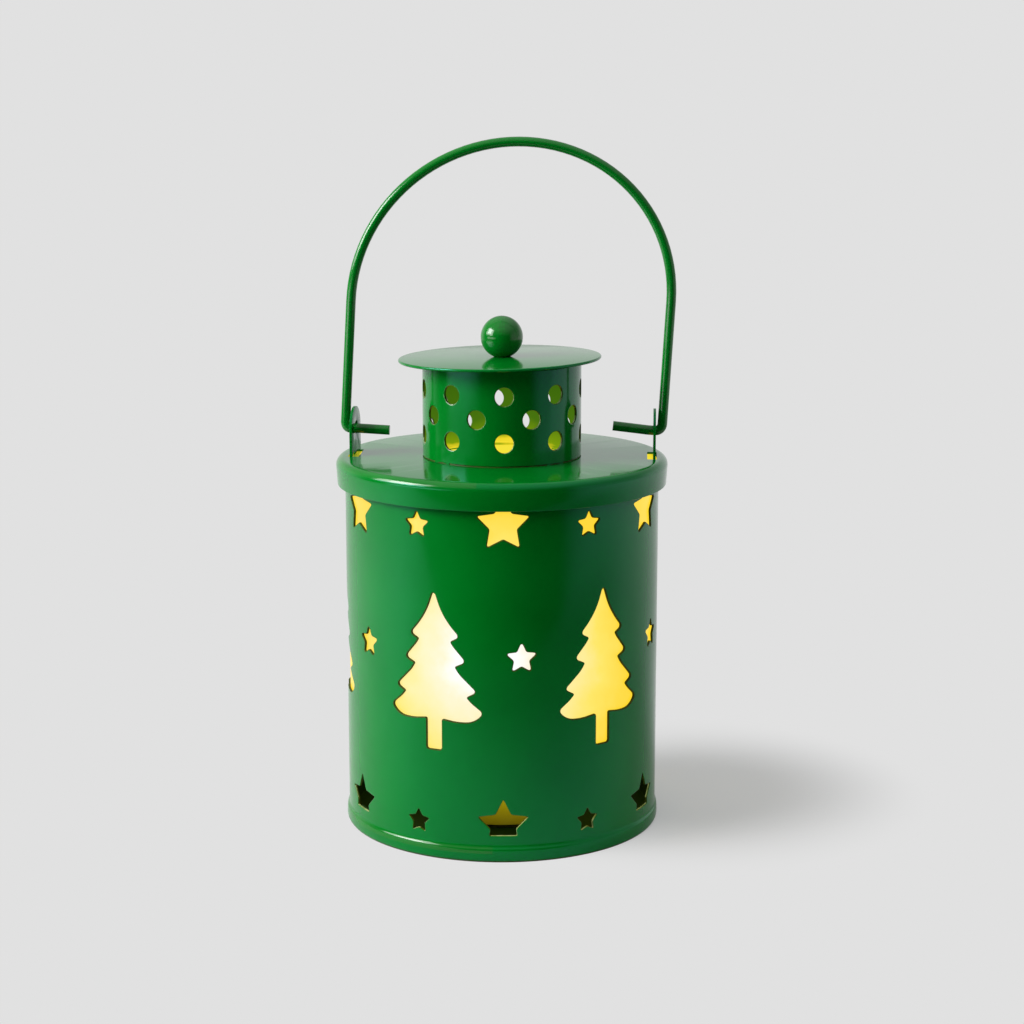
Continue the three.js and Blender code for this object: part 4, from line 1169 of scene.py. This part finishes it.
bm = ring([(0, 42.4, 0), (1.1, 40.4, 0.8), (3.4, 34.0, 4.0), (6.2, 27.4, 4.0), (5.6, 21.4, 0.8),
           (5.6, 20.0, 0.1), (7.4, 20.0, 0.1), (7.4, 19.0, 0.1), (3.2, 19.0, 0.1), (3.2, 21.4, 0.5),
           (4.8, 26.6, 2.0), (3.2, 31.5, 2.0), (0, 36.4, 0)], 64, closed=False)
make_piece(bm, "flame_shell", [flame], "lantern", "flame_plastic", "flame_tip")

# %% [markdown]
# ## The works of the candle
#
# The screw, the cell, the contacts, the switch, the covers and the lamp have the right shape already, so
# they stay as the solid model made them and only get their finishes. Steel and brass strip carry the fine
# lines of rolling, drawn coarser than they are so that they show. The moulded covers have the dull grain of
# an etched tool, the foam its open cells, and the lamp's resin a faint warm cloud.

# %% Finishes of the works
def finish(name, scale, stretch, dark, light, rough, relief, nodes, **constants):
    """One material from a noise of a given size in mm, stretched by axis, put on CAD nodes."""
    material, tree, place = blank(name)
    drawn = add(tree, "Mapping", {"Vector": place, "Scale": stretch})
    grain, tone = mottle(tree, drawn, scale * MM, 3.0, dark, light)
    wear = add(tree, "MapRange", {"Value": grain, "From Min": 0.3, "From Max": 0.7,
                                  "To Min": rough[0], "To Max": rough[1]})
    bump = add(tree, "Bump", {"Height": grain, "Strength": 0.3, "Distance": relief * MM})
    surface = add(tree, "BsdfPrincipled", {
        "Base Color": tone, "Roughness": wear, "Normal": bump,
        **constants})
    add(tree, "OutputMaterial", {"Surface": surface})
    for node in nodes:
        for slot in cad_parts[node].material_slots:
            slot.material = material
    print(name, "on", ", ".join(nodes))


# Bright steel: grey with long rolling lines that blur its highlights one way.
finish("rolled_bright_steel", 0.5, (0.15, 1, 1), "#b4b7b9", "#d2d4d6", (0.22, 0.38), 0.02,
       ["knob_screw", "coin_cell", "lead_negative", "lead_positive"], Metallic=1.0)
# Spring brass: warm yellow, a little tarnished between the lines.
finish("rolled_spring_brass", 0.5, (0.15, 1, 1), "#b08f45", "#d3b36a", (0.25, 0.42), 0.02,
       ["negative_contact", "positive_contact", "lamp_terminal", "switch_bridge"], Metallic=1.0)
# White plastic: off-white, with the dull etched grain of its mould.
finish("etched_white_plastic", 0.4, (1, 1, 1), "#e2dfd4", "#efede5", (0.42, 0.55), 0.03,
       ["candle_base", "battery_cover"])
# Black plastic: nearly black, a little greyer where fingers polish it.
finish("etched_black_plastic", 0.4, (1, 1, 1), "#202224", "#2e3032", (0.35, 0.5), 0.03, ["switch_slider"])
# Foam: dark and dead flat, with open cells about a millimetre wide.
finish("open_cell_foam", 0.9, (1, 1, 1), "#2a2a28", "#444440", (0.9, 1.0), 0.3, ["candle_pad"])
# Lamp resin: clear, slightly warm, cloudy where the phosphor lies.
finish("clear_lamp_resin", 1.5, (1, 1, 1), "#fff0c4", "#fff8e4", (0.05, 0.12), 0.01, ["led_lamp"],
       **{"Transmission Weight": 0.8})
